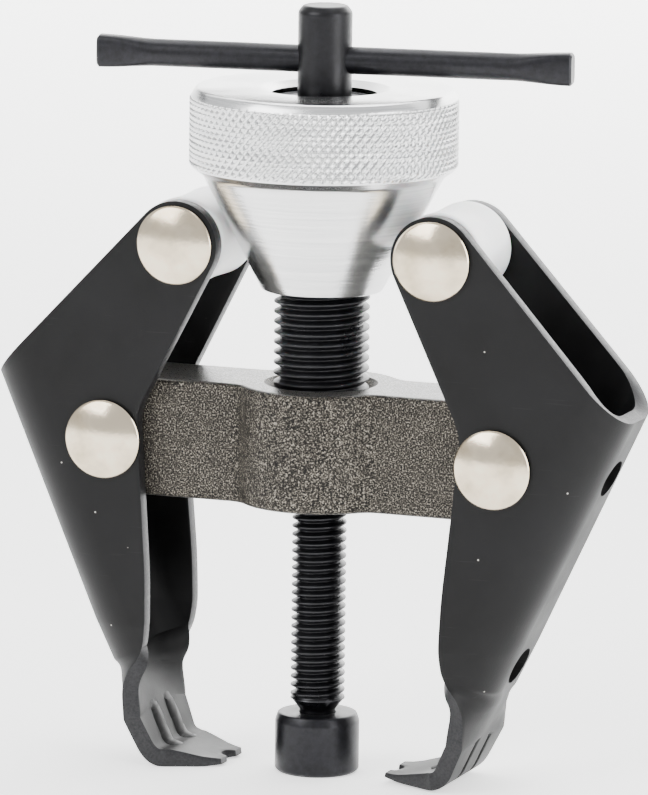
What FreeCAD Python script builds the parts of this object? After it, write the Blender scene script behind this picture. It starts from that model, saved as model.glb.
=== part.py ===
"""Two-leg cone puller: a knurled cone nut spreads the tops of two levers, their
claws close under the work, and a forcing spindle pushes the shaft out of it.

Frame: origin at the centre of the foot's pressing face, +Z up the spindle,
+X along the yoke towards the right leg, -Y towards the rivets' factory heads.
Lengths are in millimetres and angles in degrees.
"""
import FreeCAD, Part
import math
import os
import Sketcher

Vector = FreeCAD.Vector
Rotation = FreeCAD.Rotation
Placement = FreeCAD.Placement

SIZES = [
    # levers: places are measured from the lower pivot, x inwards and z up
    ("claw_depth", 48.9, "lower pivot above the claws' undersides"),
    ("pivot_half_span", 30.2, "lower pivots from the spindle axis"),
    ("lever_length", 31.2, "lower pivot to roller axis"),
    ("lever_lean", 20.1, "lever line from vertical, with the roller on the cone"),
    ("right_leg_slack", 1.5, "the right leg hangs back from the cone, at rest"),
    ("sheet_thickness", 2.2, "pressed sheet of the legs"),
    ("flange_half_width", 10.0, "outside of the flanges from the mid plane, at the pivot"),
    ("flange_flare", 1.5, "each flange from the mid plane"),
    ("eye_radius", 6.4, "rounded upper end about the roller axis"),
    ("web_place", 2.6, "outer face of the upright web"),
    ("web_lean", 23.9, "sloping web from vertical"),
    ("knee_drop", 40.5, "where the web turns upright"),
    ("knee_radius", 9.0, "outside bend at the knee"),
    ("elbow_rise", 7.5, "elbow above the pivot"),
    ("elbow_radius", 3.0, "rounded elbow"),
    ("waist_place", 5.1, "hollow corner between lever and leg"),
    ("waist_rise", 4.3, "hollow corner above the pivot"),
    ("waist_radius", 2.0, "rounding of the hollow corner"),
    ("shoulder_place", 6.7, "lower end of the flange's free edge"),
    ("shoulder_drop", 33.4, "lower end of the flange's free edge"),
    ("flange_end_drop", 42.2, "where the flange runs out into the web"),
    ("taper_drop", 27.5, "where the sides start to draw in"),
    ("neck_half_width", 10.15, "sides beside the flanges' lower ends"),
    ("neck_drop", 33.0, "sides beside the flanges' lower ends"),
    ("strip_half_width", 9.3, "bent strip below the flanges"),
    ("strip_drop", 41.5, "bent strip below the flanges"),
    ("claw_half_width", 7.8, "claw at its root"),
    ("claw_root_rise", 1.575, "where the sides reach the claw's width, above the underside"),
    ("claw_tip_half_width", 3.7, "claw at its tip"),
    ("claw_tip_place", 17.8, "claw tip from the lower pivot"),
    ("claw_tip_top", 1.1, "claw tip's upper face above the underside"),
    ("claw_tip_lift", 0.5, "claw tip's underside above the flat"),
    ("claw_flat_place", 14.2, "front end of the flat underside"),
    ("claw_bend_radius", 6.3, "outside bend of the claw"),
    ("claw_notch_radius", 3.1, "hollow in the claw's tip"),
    ("claw_notch_depth", 1.6, "hollow in the claw's tip"),
    ("claw_root_run", 0.5, "flat between the claw's bend and its slope"),
    ("flange_bend_radius", 3.0, "outside bend between web and flange"),
    ("web_hole_radius", 2.9, "holes through the web"),
    ("upper_web_hole", 9.8, "hole below the elbow, along the web"),
    ("lower_web_hole", 41.6, "hole below the elbow, along the web"),
    ("bead_radius", 1.0, "pressed stiffening beads"),
    ("bead_place", 2.8, "beads from the mid plane"),
    ("bead_sweep", 75.0, "beads along the bend"),
    ("bead_middle", 225.0, "middle of the beads round the bend, from the claw's direction"),
    # yoke
    ("yoke_height", 17.5, "crossbar"),
    ("pivot_drop", 0.25, "pivot holes below the crossbar's middle"),
    ("yoke_gap", 0.6, "each side, between the arms and the flanges at the pivot"),
    ("yoke_end_radius", 8.6, "rounded ends about the pivots"),
    ("boss_radius", 12.35, "round boss in the middle"),
    ("boss_blend", 3.5, "hollow blend between boss and arms"),
    ("sink_radius", 8.35, "countersink round the sleeve"),
    ("sink_depth", 1.2, "countersink round the sleeve"),
    # sleeve and cone nut
    ("sleeve_radius", 7.0, "outer thread, across its crests"),
    ("sleeve_pitch", 1.5, "outer thread"),
    ("sleeve_inset", 1.6, "sleeve's top below the nut's"),
    ("sleeve_edge", 0.6, "chamfers at the sleeve's ends"),
    ("thread_depth", 0.61, "depth of both threads, as a share of their pitch"),
    ("thread_clearance", 0.05, "radial, between crests and bores"),
    ("cone_foot_radius", 8.8, "cone at its lower end"),
    ("cone_top_radius", 17.7, "cone at its upper end"),
    ("cone_height", 17.0, "cone"),
    ("grip_radius", 19.6, "knurled band"),
    ("grip_underside", 1.3, "bevel from the cone to the band"),
    ("grip_height", 10.2, "knurled band"),
    ("crown_radius", 18.65, "flat top face"),
    ("crown_height", 1.1, "chamfer of the top face"),
    ("nut_edge", 0.7, "chamfers of the nut's bore"),
    # spindle
    ("spindle_radius", 4.0, "thread, across its crests"),
    ("spindle_pitch", 1.25, "thread"),
    ("thread_start", 10.6, "first thread above the foot's face"),
    ("thread_run_out", 0.8, "step from the thread up to the head"),
    ("thread_stop", 7.7, "end of the thread below the sleeve's top"),
    ("head_rise", 7.97, "top of the head above the bar's axis"),
    ("head_radius", 3.95, "plain head"),
    ("head_edge", 0.6, "chamfers of the head"),
    ("bar_lift", 4.12, "axis of the sliding bar above the nut"),
    ("bar_turn", 8.3, "bar from the yoke's line, at rest"),
    # sliding bar
    ("bar_radius", 2.0, "bar"),
    ("bar_length", 70.4, "bar"),
    ("bar_shift", 1.4, "bar's middle from the spindle axis, at rest"),
    ("bar_clearance", 0.05, "radial, in the head's hole"),
    ("flat_length", 9.0, "pressed ends"),
    ("flat_half_height", 2.4, "pressed ends"),
    ("flat_half_width", 1.6, "pressed ends"),
    # foot
    ("foot_radius", 6.2, "foot"),
    ("foot_height", 8.8, "foot"),
    ("foot_top_bevel", 1.1, "height of the upper chamfer"),
    ("foot_top_inset", 0.35, "width of the upper chamfer"),
    ("foot_edge", 0.4, "lower chamfer"),
    ("socket_floor", 1.8, "bottom of the socket above the pressing face"),
    ("nose_radius", 2.6, "spindle nose in the socket"),
    ("nose_clearance", 0.05, "radial, in the socket"),
    ("nose_lift", 0.02, "nose off the socket's floor"),
    ("nose_edge", 0.8, "chamfer of the nose"),
    ("nose_rise", 0.5, "plain nose above the foot"),
    ("neck_run", 1.0, "height of the cone from the nose to the thread"),
    ("ring_height", 5.4, "snap ring above the pressing face"),
    ("ring_wire_radius", 0.4, "snap ring's wire"),
    ("ring_radius", 2.75, "snap ring's centre line"),
    ("ring_opening", 40.0, "gap in the snap ring"),
    ("groove_clearance", 0.1, "between the ring and its grooves"),
    # rivets and rollers
    ("pivot_pin_radius", 4.0, "shank of the pivot rivets"),
    ("pivot_clearance", 0.05, "radial, in the yoke"),
    ("roller_pin_radius", 3.0, "shank of the roller rivets"),
    ("rivet_head_radius", 5.8, "domed heads"),
    ("rivet_head_rise", 1.7, "domed heads"),
    ("rivet_head_rim", 0.45, "upright rim of the domed heads"),
    ("rivet_head_lift", 0.2, "heads off the leaning flanges"),
    ("bush_radius", 4.0, "spacer bush outside"),
    ("bush_gap", 0.18, "each end, between the bush and the flange"),
    ("roller_radius", 6.6, "roller at its ends"),
    ("roller_waist_radius", 6.4, "roller in its middle"),
    ("roller_end_gap", 0.15, "roller shorter than its bush, at each end"),
    ("roller_edge", 0.5, "chamfers of the roller"),
    ("roller_waist_share", 0.45, "straight waist, as a share of the roller's length"),
    ("roller_clearance", 0.05, "radial, on the bush, and between roller and cone"),
]

document = FreeCAD.newDocument("cone_puller")
sheet = document.addObject("Spreadsheet::Sheet", "Sizes")


class Size:
    """A driving dimension: its value and the sheet expression that gives it."""

    def __init__(self, value, text):
        self.value = value
        self.text = text

    def join(self, sign, other, value):
        return Size(value, f"({self.text} {sign} {as_size(other).text})")

    def __add__(self, other):
        return self.join("+", other, self.value + as_size(other).value)

    def __sub__(self, other):
        return self.join("-", other, self.value - as_size(other).value)

    def __mul__(self, other):
        return self.join("*", other, self.value * as_size(other).value)

    def __truediv__(self, other):
        return self.join("/", other, self.value / as_size(other).value)

    def __neg__(self):
        return Size(-self.value, f"(0 - {self.text})")


def as_size(number):
    return number if isinstance(number, Size) else Size(float(number), repr(number))


def sine(angle):
    return Size(math.sin(math.radians(angle.value)), f"sin({angle.text})")


def cosine(angle):
    return Size(math.cos(math.radians(angle.value)), f"cos({angle.text})")


def tangent(angle):
    return Size(math.tan(math.radians(angle.value)), f"tan({angle.text})")


def hypotenuse(a, b):
    return Size(math.hypot(a.value, b.value), f"sqrt({a.text} * {a.text} + {b.text} * {b.text})")


def fill_sheet():
    """Write every driving dimension, its alias and its note, one row each."""
    sizes = {}
    for row, (alias, value, note) in enumerate(SIZES, start=1):
        sheet.set(f"A{row}", alias)
        sheet.set(f"B{row}", str(value))
        sheet.set(f"C{row}", note)
        sheet.setAlias(f"B{row}", alias)
        sizes[alias] = Size(value, f"Sizes.{alias}")
    document.recompute()
    return sizes


S = fill_sheet()
ZERO = as_size(0)

# ---------------------------------------------------------------- derived places
yoke_middle = S["claw_depth"] + S["pivot_drop"]
yoke_bottom = yoke_middle - S["yoke_height"] / 2
roller_x = S["lever_length"] * sine(S["lever_lean"])
roller_z = S["lever_length"] * cosine(S["lever_lean"])
flare = tangent(S["flange_flare"])
yoke_half_depth = S["flange_half_width"] - S["sheet_thickness"] - S["yoke_gap"]
BIG = as_size(60)  # beyond every piece, for cuts that run right through
MARGIN = as_size(1)  # how far a cutting outline starts outside its piece
OVERRUN = as_size(0.2)  # how far the thread's cutting outline stands out


def flange_half(z):
    """Outside of a flange from the mid plane, at height z from the lower pivot."""
    return S["flange_half_width"] - z * flare


def nut_bottom():
    """Height at which the cone just rests on the left leg's roller."""
    widening = S["cone_top_radius"] - S["cone_foot_radius"]
    steepness = S["cone_height"] / widening
    slant = hypotenuse(S["cone_height"], widening) / widening
    gap = S["roller_waist_radius"] + S["roller_clearance"]
    level = S["claw_depth"] + roller_z
    return level - (S["pivot_half_span"] - roller_x - S["cone_foot_radius"]) * steepness + gap * slant


nut_rest = nut_bottom()
nut_top = nut_rest + S["cone_height"] + S["grip_underside"] + S["grip_height"] + S["crown_height"]
sleeve_top = nut_top - S["sleeve_inset"]
bar_height = nut_top + S["bar_lift"]
bush_half = flange_half(roller_z) - S["sheet_thickness"] - S["bush_gap"]


# ------------------------------------------------------------------ small helpers
def new_body(name):
    body = document.addObject("PartDesign::Body", name)
    body.Label = name
    return body


def bind(thing, prop, size):
    thing.setExpression(prop, size.text)


def new_sketch(body, name, role, lift=None):
    """A sketch on one of the body's own origin planes, raised by lift."""
    sketch = body.newObject("Sketcher::SketchObject", name)
    plane = next(item for item in body.Origin.OriginFeatures if item.Role == role)
    sketch.AttachmentSupport = [(plane, "")]
    sketch.MapMode = "FlatFace"
    if lift is not None:
        bind(sketch, "AttachmentOffset.Base.z", lift)
    return sketch


def dimension(sketch, kind, places, size):
    """Add a dimension between places and bind it to the sheet."""
    index = sketch.addConstraint(Sketcher.Constraint(kind, *places, size.value))
    name = f"{kind.lower()}_{index}"
    sketch.renameConstraint(index, name)
    bind(sketch, f"Constraints.{name}", size)


def pin_point(sketch, line, end, x, y):
    dimension(sketch, "DistanceX", (-1, 1, line, end), x)
    dimension(sketch, "DistanceY", (-1, 1, line, end), y)


def polygon(sketch, corners):
    """A closed outline of straight lines, with every corner dimensioned."""
    corners = [(as_size(x), as_size(y)) for x, y in corners]
    points = [Vector(x.value, y.value, 0) for x, y in corners]
    first = sketch.GeometryCount
    count = len(points)
    for index, point in enumerate(points):
        sketch.addGeometry(Part.LineSegment(point, points[(index + 1) % count]), False)
    for index in range(count):
        following = first + (index + 1) % count
        sketch.addConstraint(Sketcher.Constraint("Coincident", first + index, 2, following, 1))
    for index, (x, y) in enumerate(corners):
        pin_point(sketch, first + index, 1, x, y)


def circle(sketch, x, y, radius):
    x, y = as_size(x), as_size(y)
    ring = Part.Circle(Vector(x.value, y.value, 0), Vector(0, 0, 1), radius.value)
    index = sketch.addGeometry(ring, False)
    pin_point(sketch, index, 3, x, y)
    dimension(sketch, "Radius", (index,), radius)


def feature(body, kind, name, sketch, **settings):
    thing = body.newObject(f"PartDesign::{kind}", name)
    thing.Profile = sketch
    for prop, value in settings.items():
        if isinstance(value, Size):
            bind(thing, prop, value)
        else:
            setattr(thing, prop, value)
    sketch.Visibility = False
    document.recompute()
    body.Tip = thing
    return thing


def pad(body, name, sketch, length, midplane=False, reverse=False):
    thing = feature(body, "Pad", name, sketch, Length=length, Reversed=reverse)
    if midplane:
        thing.SideType = "Symmetric"
    document.recompute()
    return thing


def pocket(body, name, sketch, length=None, midplane=False, reverse=False):
    """Cut the sketch through the body, and fail if nothing was cut."""
    before = body.Shape.Volume
    settings = {"Reversed": reverse}
    if length is None:
        settings["Type"] = "ThroughAll"
    else:
        settings["Length"] = length
    thing = feature(body, "Pocket", name, sketch, **settings)
    if midplane:
        thing.SideType = "Symmetric"
    document.recompute()
    if thing.Shape.Volume >= before - 1e-6:
        raise RuntimeError(f"{name} cut nothing from {body.Label}")
    return thing


def turned(body, name, corners, kind="Revolution"):
    """Turn an outline of (radius, height) corners about the body's Z axis."""
    sketch = new_sketch(body, f"{name}_outline", "XZ_Plane")
    polygon(sketch, corners)
    return feature(body, kind, name, sketch, ReferenceAxis=(sketch, ["V_Axis"]), Angle=360.0)


def edges_where(shape, test):
    return [f"Edge{index}" for index, edge in enumerate(shape.Edges, start=1) if test(edge)]


def dress(body, kind, name, base, edges, prop, size):
    """Round or chamfer edges of the body's latest feature."""
    if not edges:
        raise RuntimeError(f"{name} found no edges")
    thing = body.newObject(f"PartDesign::{kind}", name)
    thing.Base = (base, edges)
    bind(thing, prop, size)
    document.recompute()
    if "Invalid" in thing.State:
        raise RuntimeError(f"{name} failed on {body.Label}")
    body.Tip = thing
    return thing


def along_y_at(x, z):
    """A test for edges that run along Y through the point x, z."""
    def test(edge):
        same = [abs(v.X - x) < 1e-3 and abs(v.Z - z) < 1e-3 for v in edge.Vertexes]
        return len(same) == 2 and all(same)
    return test


def thread_rings(body, name, radius, pitch, low, high):
    """Ring grooves at the thread's pitch, 60 degrees wide, from low to high."""
    depth = pitch * S["thread_depth"]
    half_mouth = (depth + OVERRUN) * tangent(as_size(30))
    mouth = radius + OVERRUN
    sketch = new_sketch(body, f"{name}_outline", "XZ_Plane")
    polygon(sketch, [(radius - depth, low), (mouth, low - half_mouth), (mouth, low + half_mouth)])
    groove = feature(body, "Groove", name, sketch, ReferenceAxis=(sketch, ["V_Axis"]), Angle=360.0)
    pattern = body.newObject("PartDesign::LinearPattern", f"{name}_pattern")
    pattern.Originals = [groove]
    pattern.Direction = (sketch, ["V_Axis"])
    count = int((high.value - low.value) / pitch.value) + 1
    pattern.Occurrences = count
    bind(pattern, "Length", pitch * (count - 1))
    document.recompute()
    body.Tip = pattern
    return pattern


def stand_along_y(x, z):
    """Lay a turned piece along Y, with its axis through x and z."""
    return Placement(Vector(x, 0, z), Rotation(Vector(1, 0, 0), 90))


# ------------------------------------------------------------------------- yoke
def make_yoke():
    """Forged crossbar: two flat arms with rounded ends and a round boss."""
    body = new_body("yoke")
    span, radius = S["pivot_half_span"], S["yoke_end_radius"]
    high = S["yoke_height"] / 2
    low = -high

    arms = new_sketch(body, "arms_outline", "XZ_Plane")
    reach = span + radius
    polygon(arms, [(-reach, low), (reach, low), (reach, high), (-reach, high)])
    bar = pad(body, "arms", arms, yoke_half_depth * 2, midplane=True)

    def end_corner(edge):
        middle = edge.CenterOfMass
        return abs(abs(middle.x) - reach.value) < 1e-3 and abs(abs(middle.z) - high.value) < 1e-3

    ends = edges_where(bar.Shape, end_corner)
    dress(body, "Fillet", "rounded_ends", bar, ends, "Radius", radius)

    boss = new_sketch(body, "boss_outline", "XY_Plane")
    circle(boss, 0, 0, S["boss_radius"])
    swell = pad(body, "boss", boss, S["yoke_height"], midplane=True)

    def inner_corner(edge):
        box, middle = edge.BoundBox, edge.CenterOfMass
        upright = abs(box.ZLength - S["yoke_height"].value) < 1e-3 and box.XLength < 1e-3
        on_side = abs(abs(middle.y) - yoke_half_depth.value) < 1e-3
        return upright and on_side and abs(middle.x) < S["boss_radius"].value

    meet = edges_where(swell.Shape, inner_corner)
    dress(body, "Fillet", "boss_blends", swell, meet, "Radius", S["boss_blend"])

    bore = new_sketch(body, "sleeve_bore_outline", "XY_Plane")
    circle(bore, 0, 0, S["sleeve_radius"])
    pocket(body, "sleeve_bore", bore, midplane=True)
    slope = MARGIN * S["sink_depth"] / (S["sink_radius"] - S["sleeve_radius"])
    turned(body, "countersink", [
        (S["sleeve_radius"] - MARGIN, high + slope), (S["sink_radius"] + MARGIN, high + slope),
        (S["sleeve_radius"] - MARGIN, high - S["sink_depth"] - slope),
    ], kind="Groove")

    holes = new_sketch(body, "pivot_holes_outline", "XZ_Plane")
    for side in (-1, 1):
        circle(holes, span * side, -S["pivot_drop"], S["pivot_pin_radius"] + S["pivot_clearance"])
    pocket(body, "pivot_holes", holes, midplane=True)
    body.Placement = Placement(Vector(0, 0, yoke_middle.value), Rotation())
    return body


# ---------------------------------------------------------- sleeve, nut, spindle
def make_guide_sleeve():
    """Threaded tube fixed in the yoke: nut outside, spindle inside."""
    body = new_body("guide_sleeve")
    bore = S["spindle_radius"] + S["thread_clearance"]
    outer, edge = S["sleeve_radius"], S["sleeve_edge"]
    top = sleeve_top - yoke_bottom
    turned(body, "tube", [
        (bore + edge, 0), (outer - edge, 0), (outer, edge), (outer, top - edge),
        (outer - edge, top), (bore + edge, top), (bore, top - edge), (bore, edge),
    ])
    thread_rings(body, "outer_thread", outer, S["sleeve_pitch"],
                 S["yoke_height"] + S["sleeve_edge"], top - edge * 2)
    body.Placement = Placement(Vector(0, 0, yoke_bottom.value), Rotation())
    return body


def make_cone_nut():
    """Turned nut: a cone below, a broad knurled grip above."""
    body = new_body("cone_nut")
    bore = S["sleeve_radius"] + S["thread_clearance"]
    edge = S["nut_edge"]
    grip_low = S["cone_height"] + S["grip_underside"]
    grip_high = grip_low + S["grip_height"]
    top = grip_high + S["crown_height"]
    turned(body, "cone_and_grip", [
        (bore + edge, 0), (S["cone_foot_radius"], 0), (S["cone_top_radius"], S["cone_height"]),
        (S["grip_radius"], grip_low), (S["grip_radius"], grip_high), (S["crown_radius"], top),
        (bore + edge, top), (bore, top - edge), (bore, edge),
    ])
    body.Placement = Placement(Vector(0, 0, nut_rest.value), Rotation())
    return body


def make_forcing_spindle():
    """Long screw: a nose for the foot below, a cross-drilled head above."""
    body = new_body("forcing_spindle")
    radius, nose = S["spindle_radius"], S["nose_radius"]
    nose_end = S["socket_floor"] + S["nose_lift"]
    ring_half = S["ring_wire_radius"] + S["groove_clearance"]
    groove_floor = S["ring_radius"] - S["ring_wire_radius"] - S["groove_clearance"]
    root = radius - S["spindle_pitch"] * S["thread_depth"]
    start, ending, run_out = S["thread_start"], sleeve_top - S["thread_stop"], S["thread_run_out"]
    half_neck = S["neck_run"] / 2
    head, edge, top = S["head_radius"], S["head_edge"], bar_height + S["head_rise"]
    turned(body, "screw", [
        (0, nose_end), (nose - S["nose_edge"], nose_end), (nose, nose_end + S["nose_edge"]),
        (nose, S["ring_height"] - ring_half), (groove_floor, S["ring_height"] - ring_half),
        (groove_floor, S["ring_height"] + ring_half), (nose, S["ring_height"] + ring_half),
        (nose, S["foot_height"] + S["nose_rise"]), (root, start - half_neck), (radius, start + half_neck),
        (radius, ending), (root, ending + run_out), (head, ending + run_out * 2),
        (head, top - edge), (head - edge, top), (0, top),
    ])
    thread_rings(body, "thread", radius, S["spindle_pitch"], start + S["spindle_pitch"], ending)
    hole = new_sketch(body, "bar_hole_outline", "YZ_Plane")
    circle(hole, 0, bar_height, S["bar_radius"] + S["bar_clearance"])
    pocket(body, "bar_hole", hole, midplane=True)
    body.Placement = Placement(Vector(0, 0, 0), Rotation(Vector(0, 0, 1), S["bar_turn"].value))
    return body


def make_tommy_bar():
    """Sliding bar: each end is pressed flat and wide, so it can't fall out."""
    body = new_body("tommy_bar")
    half = S["bar_length"] / 2
    shank = half - S["flat_length"]
    tall, thin = S["flat_half_height"], S["flat_half_width"]
    round_part = new_sketch(body, "shank_outline", "YZ_Plane")
    circle(round_part, 0, 0, S["bar_radius"])
    pad(body, "shank", round_part, shank * 2, midplane=True)
    for name, side in (("left", -1), ("right", 1)):
        inner = new_sketch(body, f"{name}_flat_root", "YZ_Plane", shank * side)
        circle(inner, 0, 0, S["bar_radius"])
        outer = new_sketch(body, f"{name}_flat_end", "YZ_Plane", half * side)
        oval = Part.Ellipse(Vector(0, tall.value, 0), Vector(thin.value, 0, 0), Vector(0, 0, 0))
        outer.addGeometry(oval, False)
        outer.exposeInternalGeometry(0)
        major, minor = outer.Geometry[1].StartPoint, outer.Geometry[2].StartPoint
        pin_point(outer, 0, 3, ZERO, ZERO)
        pin_point(outer, 1, 1, ZERO, tall * math.copysign(1, major.y))
        dimension(outer, "DistanceX", (-1, 1, 2, 1), thin * math.copysign(1, minor.x))
        flat = body.newObject("PartDesign::AdditiveLoft", f"{name}_flat")
        flat.Profile = inner
        flat.Sections = [outer]
        flat.Ruled = True
        document.recompute()
        body.Tip = flat
    turn = Rotation(Vector(0, 0, 1), S["bar_turn"].value)
    shift = turn.multVec(Vector(S["bar_shift"].value, 0, 0))
    body.Placement = Placement(shift + Vector(0, 0, bar_height.value), turn)
    return body


# ------------------------------------------------------------------------- foot
def make_pressure_foot():
    """Round thrust pad, free to turn on the spindle's nose."""
    body = new_body("pressure_foot")
    radius, top, edge = S["foot_radius"], S["foot_height"], S["foot_edge"]
    socket = S["nose_radius"] + S["nose_clearance"]
    ring_half = S["ring_wire_radius"] + S["groove_clearance"] / 2
    groove = S["ring_radius"] + S["ring_wire_radius"] + S["groove_clearance"] / 2
    turned(body, "pad", [
        (0, 0), (radius - edge, 0), (radius, edge), (radius, top - S["foot_top_bevel"]),
        (radius - S["foot_top_inset"], top), (socket, top),
        (socket, S["ring_height"] + ring_half), (groove, S["ring_height"] + ring_half),
        (groove, S["ring_height"] - ring_half), (socket, S["ring_height"] - ring_half),
        (socket, S["socket_floor"]), (0, S["socket_floor"]),
    ])
    return body


def make_foot_snap_ring():
    """Open wire ring that holds the foot on the nose."""
    ring = document.addObject("Part::Torus", "foot_snap_ring")
    ring.Label = "foot_snap_ring"
    bind(ring, "Radius1", S["ring_radius"])
    bind(ring, "Radius2", S["ring_wire_radius"])
    bind(ring, "Angle3", as_size(360) - S["ring_opening"])
    ring.Placement = Placement(Vector(0, 0, S["ring_height"].value), Rotation())
    return ring


# ------------------------------------------------------------- rivets and rollers
def make_rivet(name, shank, z):
    """Domed rivet through both flanges, drawn upright along its own axis."""
    body = new_body(name)
    seat = flange_half(z) + S["rivet_head_lift"]
    rim = seat + S["rivet_head_rim"]
    crown = seat + S["rivet_head_rise"]
    sketch = new_sketch(body, "rivet_outline", "XZ_Plane")
    head = S["rivet_head_radius"]
    chain = [(ZERO, -crown), (head, -rim), (head, -seat), (shank, -seat),
             (shank, seat), (head, seat), (head, rim), (ZERO, crown)]
    points = [Vector(x.value, y.value, 0) for x, y in chain]
    rise = crown.value - rim.value
    ball = (head.value ** 2 + rise ** 2) / (2 * rise)
    swing = math.asin(head.value / ball)
    for low, high in zip(range(1, 6), range(2, 7)):
        sketch.addGeometry(Part.LineSegment(points[low], points[high]), False)
    quarter = math.pi / 2
    lower = Part.Circle(Vector(0, ball - crown.value, 0), Vector(0, 0, 1), ball)
    upper = Part.Circle(Vector(0, crown.value - ball, 0), Vector(0, 0, 1), ball)
    below = sketch.addGeometry(Part.ArcOfCircle(lower, -quarter, swing - quarter), False)
    above = sketch.addGeometry(Part.ArcOfCircle(upper, quarter - swing, quarter), False)
    axis = sketch.addGeometry(Part.LineSegment(points[7], points[0]), False)
    for line in range(4):
        sketch.addConstraint(Sketcher.Constraint("Coincident", line, 2, line + 1, 1))
    for line, (x, y) in enumerate(chain[1:6]):
        pin_point(sketch, line, 1, x, y)
    pin_point(sketch, 4, 2, *chain[6])
    sketch.addConstraint(Sketcher.Constraint("Coincident", below, 2, 0, 1))
    sketch.addConstraint(Sketcher.Constraint("Coincident", above, 1, 4, 2))
    sketch.addConstraint(Sketcher.Constraint("Coincident", axis, 1, above, 2))
    sketch.addConstraint(Sketcher.Constraint("Coincident", axis, 2, below, 1))
    pin_point(sketch, axis, 1, *chain[7])
    pin_point(sketch, axis, 2, *chain[0])
    sketch.addConstraint(Sketcher.Constraint("PointOnObject", below, 3, -2))
    sketch.addConstraint(Sketcher.Constraint("PointOnObject", above, 3, -2))
    feature(body, "Revolution", "rivet_turned", sketch, ReferenceAxis=(sketch, ["V_Axis"]), Angle=360.0)
    return body


def make_roller_bush(name):
    """Spacer tube on the rivet: keeps the flanges apart and carries the roller."""
    body = new_body(name)
    inner, outer, half = S["roller_pin_radius"], S["bush_radius"], bush_half
    turned(body, "tube", [(inner, -half), (outer, -half), (outer, half), (inner, half)])
    return body


def make_roller(name):
    """Plastic roller with a slight waist, where the cone runs."""
    body = new_body(name)
    bore = S["bush_radius"] + S["roller_clearance"]
    end, waist, half = S["roller_radius"], S["roller_waist_radius"], bush_half - S["roller_end_gap"]
    edge = S["roller_edge"]
    straight = half * S["roller_waist_share"]
    turned(body, "barrel", [
        (bore, -half), (end - edge, -half), (end, edge - half), (waist, -straight),
        (waist, straight), (end, half - edge), (end - edge, half), (bore, half),
    ])
    return body


# -------------------------------------------------------------------------- legs
def touching_point(start, centre, radius, side):
    """The point where a line from start touches the circle, on one side of it."""
    reach = centre - start
    lean = math.atan2(reach.y, reach.x) + side * math.asin(radius / reach.Length)
    length = math.sqrt(reach.Length ** 2 - radius ** 2)
    return start + Vector(math.cos(lean), math.sin(lean), 0) * length


def eye_outline(sketch, corners, centre, radius):
    """A closed outline of corners whose last and first are joined by a round eye.

    The lines from the last corner and back to the first are tangent to the eye.
    """
    points = [Vector(x.value, y.value, 0) for x, y in corners]
    middle = Vector(centre[0].value, centre[1].value, 0)
    arrive = touching_point(points[-1], middle, radius.value, -1)
    leave = touching_point(points[0], middle, radius.value, 1)
    chain = points + [arrive]
    for start, end in zip(chain[:-1], chain[1:]):
        sketch.addGeometry(Part.LineSegment(start, end), False)
    last = len(points) - 1
    from_angle = math.atan2(arrive.y - middle.y, arrive.x - middle.x)
    to_angle = math.atan2(leave.y - middle.y, leave.x - middle.x)
    ring = Part.Circle(middle, Vector(0, 0, 1), radius.value)
    eye = sketch.addGeometry(Part.ArcOfCircle(ring, from_angle, to_angle), False)
    back = sketch.addGeometry(Part.LineSegment(leave, points[0]), False)
    for line in range(last):
        sketch.addConstraint(Sketcher.Constraint("Coincident", line, 2, line + 1, 1))
    sketch.addConstraint(Sketcher.Constraint("Tangent", last, 2, eye, 1))
    sketch.addConstraint(Sketcher.Constraint("Tangent", eye, 2, back, 1))
    sketch.addConstraint(Sketcher.Constraint("Coincident", back, 2, 0, 1))
    for line, (x, y) in enumerate(corners):
        pin_point(sketch, line, 1, x, y)
    pin_point(sketch, eye, 3, *centre)
    dimension(sketch, "Radius", (eye,), radius)


def trim_sides(body, name, corners):
    """Cut away all outside a front outline: (half width, height) corners, top down."""
    sketch = new_sketch(body, f"{name}_outline", "YZ_Plane")
    for side in (-1, 1):
        wide = [(BIG * side, corners[-1][1]), (BIG * side, corners[0][1])]
        polygon(sketch, [(half * side, z) for half, z in corners] + wide)
    return pocket(body, name, sketch, midplane=True)


def leg_places():
    """The leg's corners in side view, from the lower pivot."""
    lean = S["web_lean"]
    sole = -S["claw_depth"]
    knee = (S["web_place"], -S["knee_drop"])
    elbow = (S["web_place"] - (S["elbow_rise"] + S["knee_drop"]) * tangent(lean), S["elbow_rise"])
    inner_knee = (knee[0] + S["sheet_thickness"], knee[1] + S["sheet_thickness"] * tangent(lean / 2))
    return sole, knee, elbow, inner_knee


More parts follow.
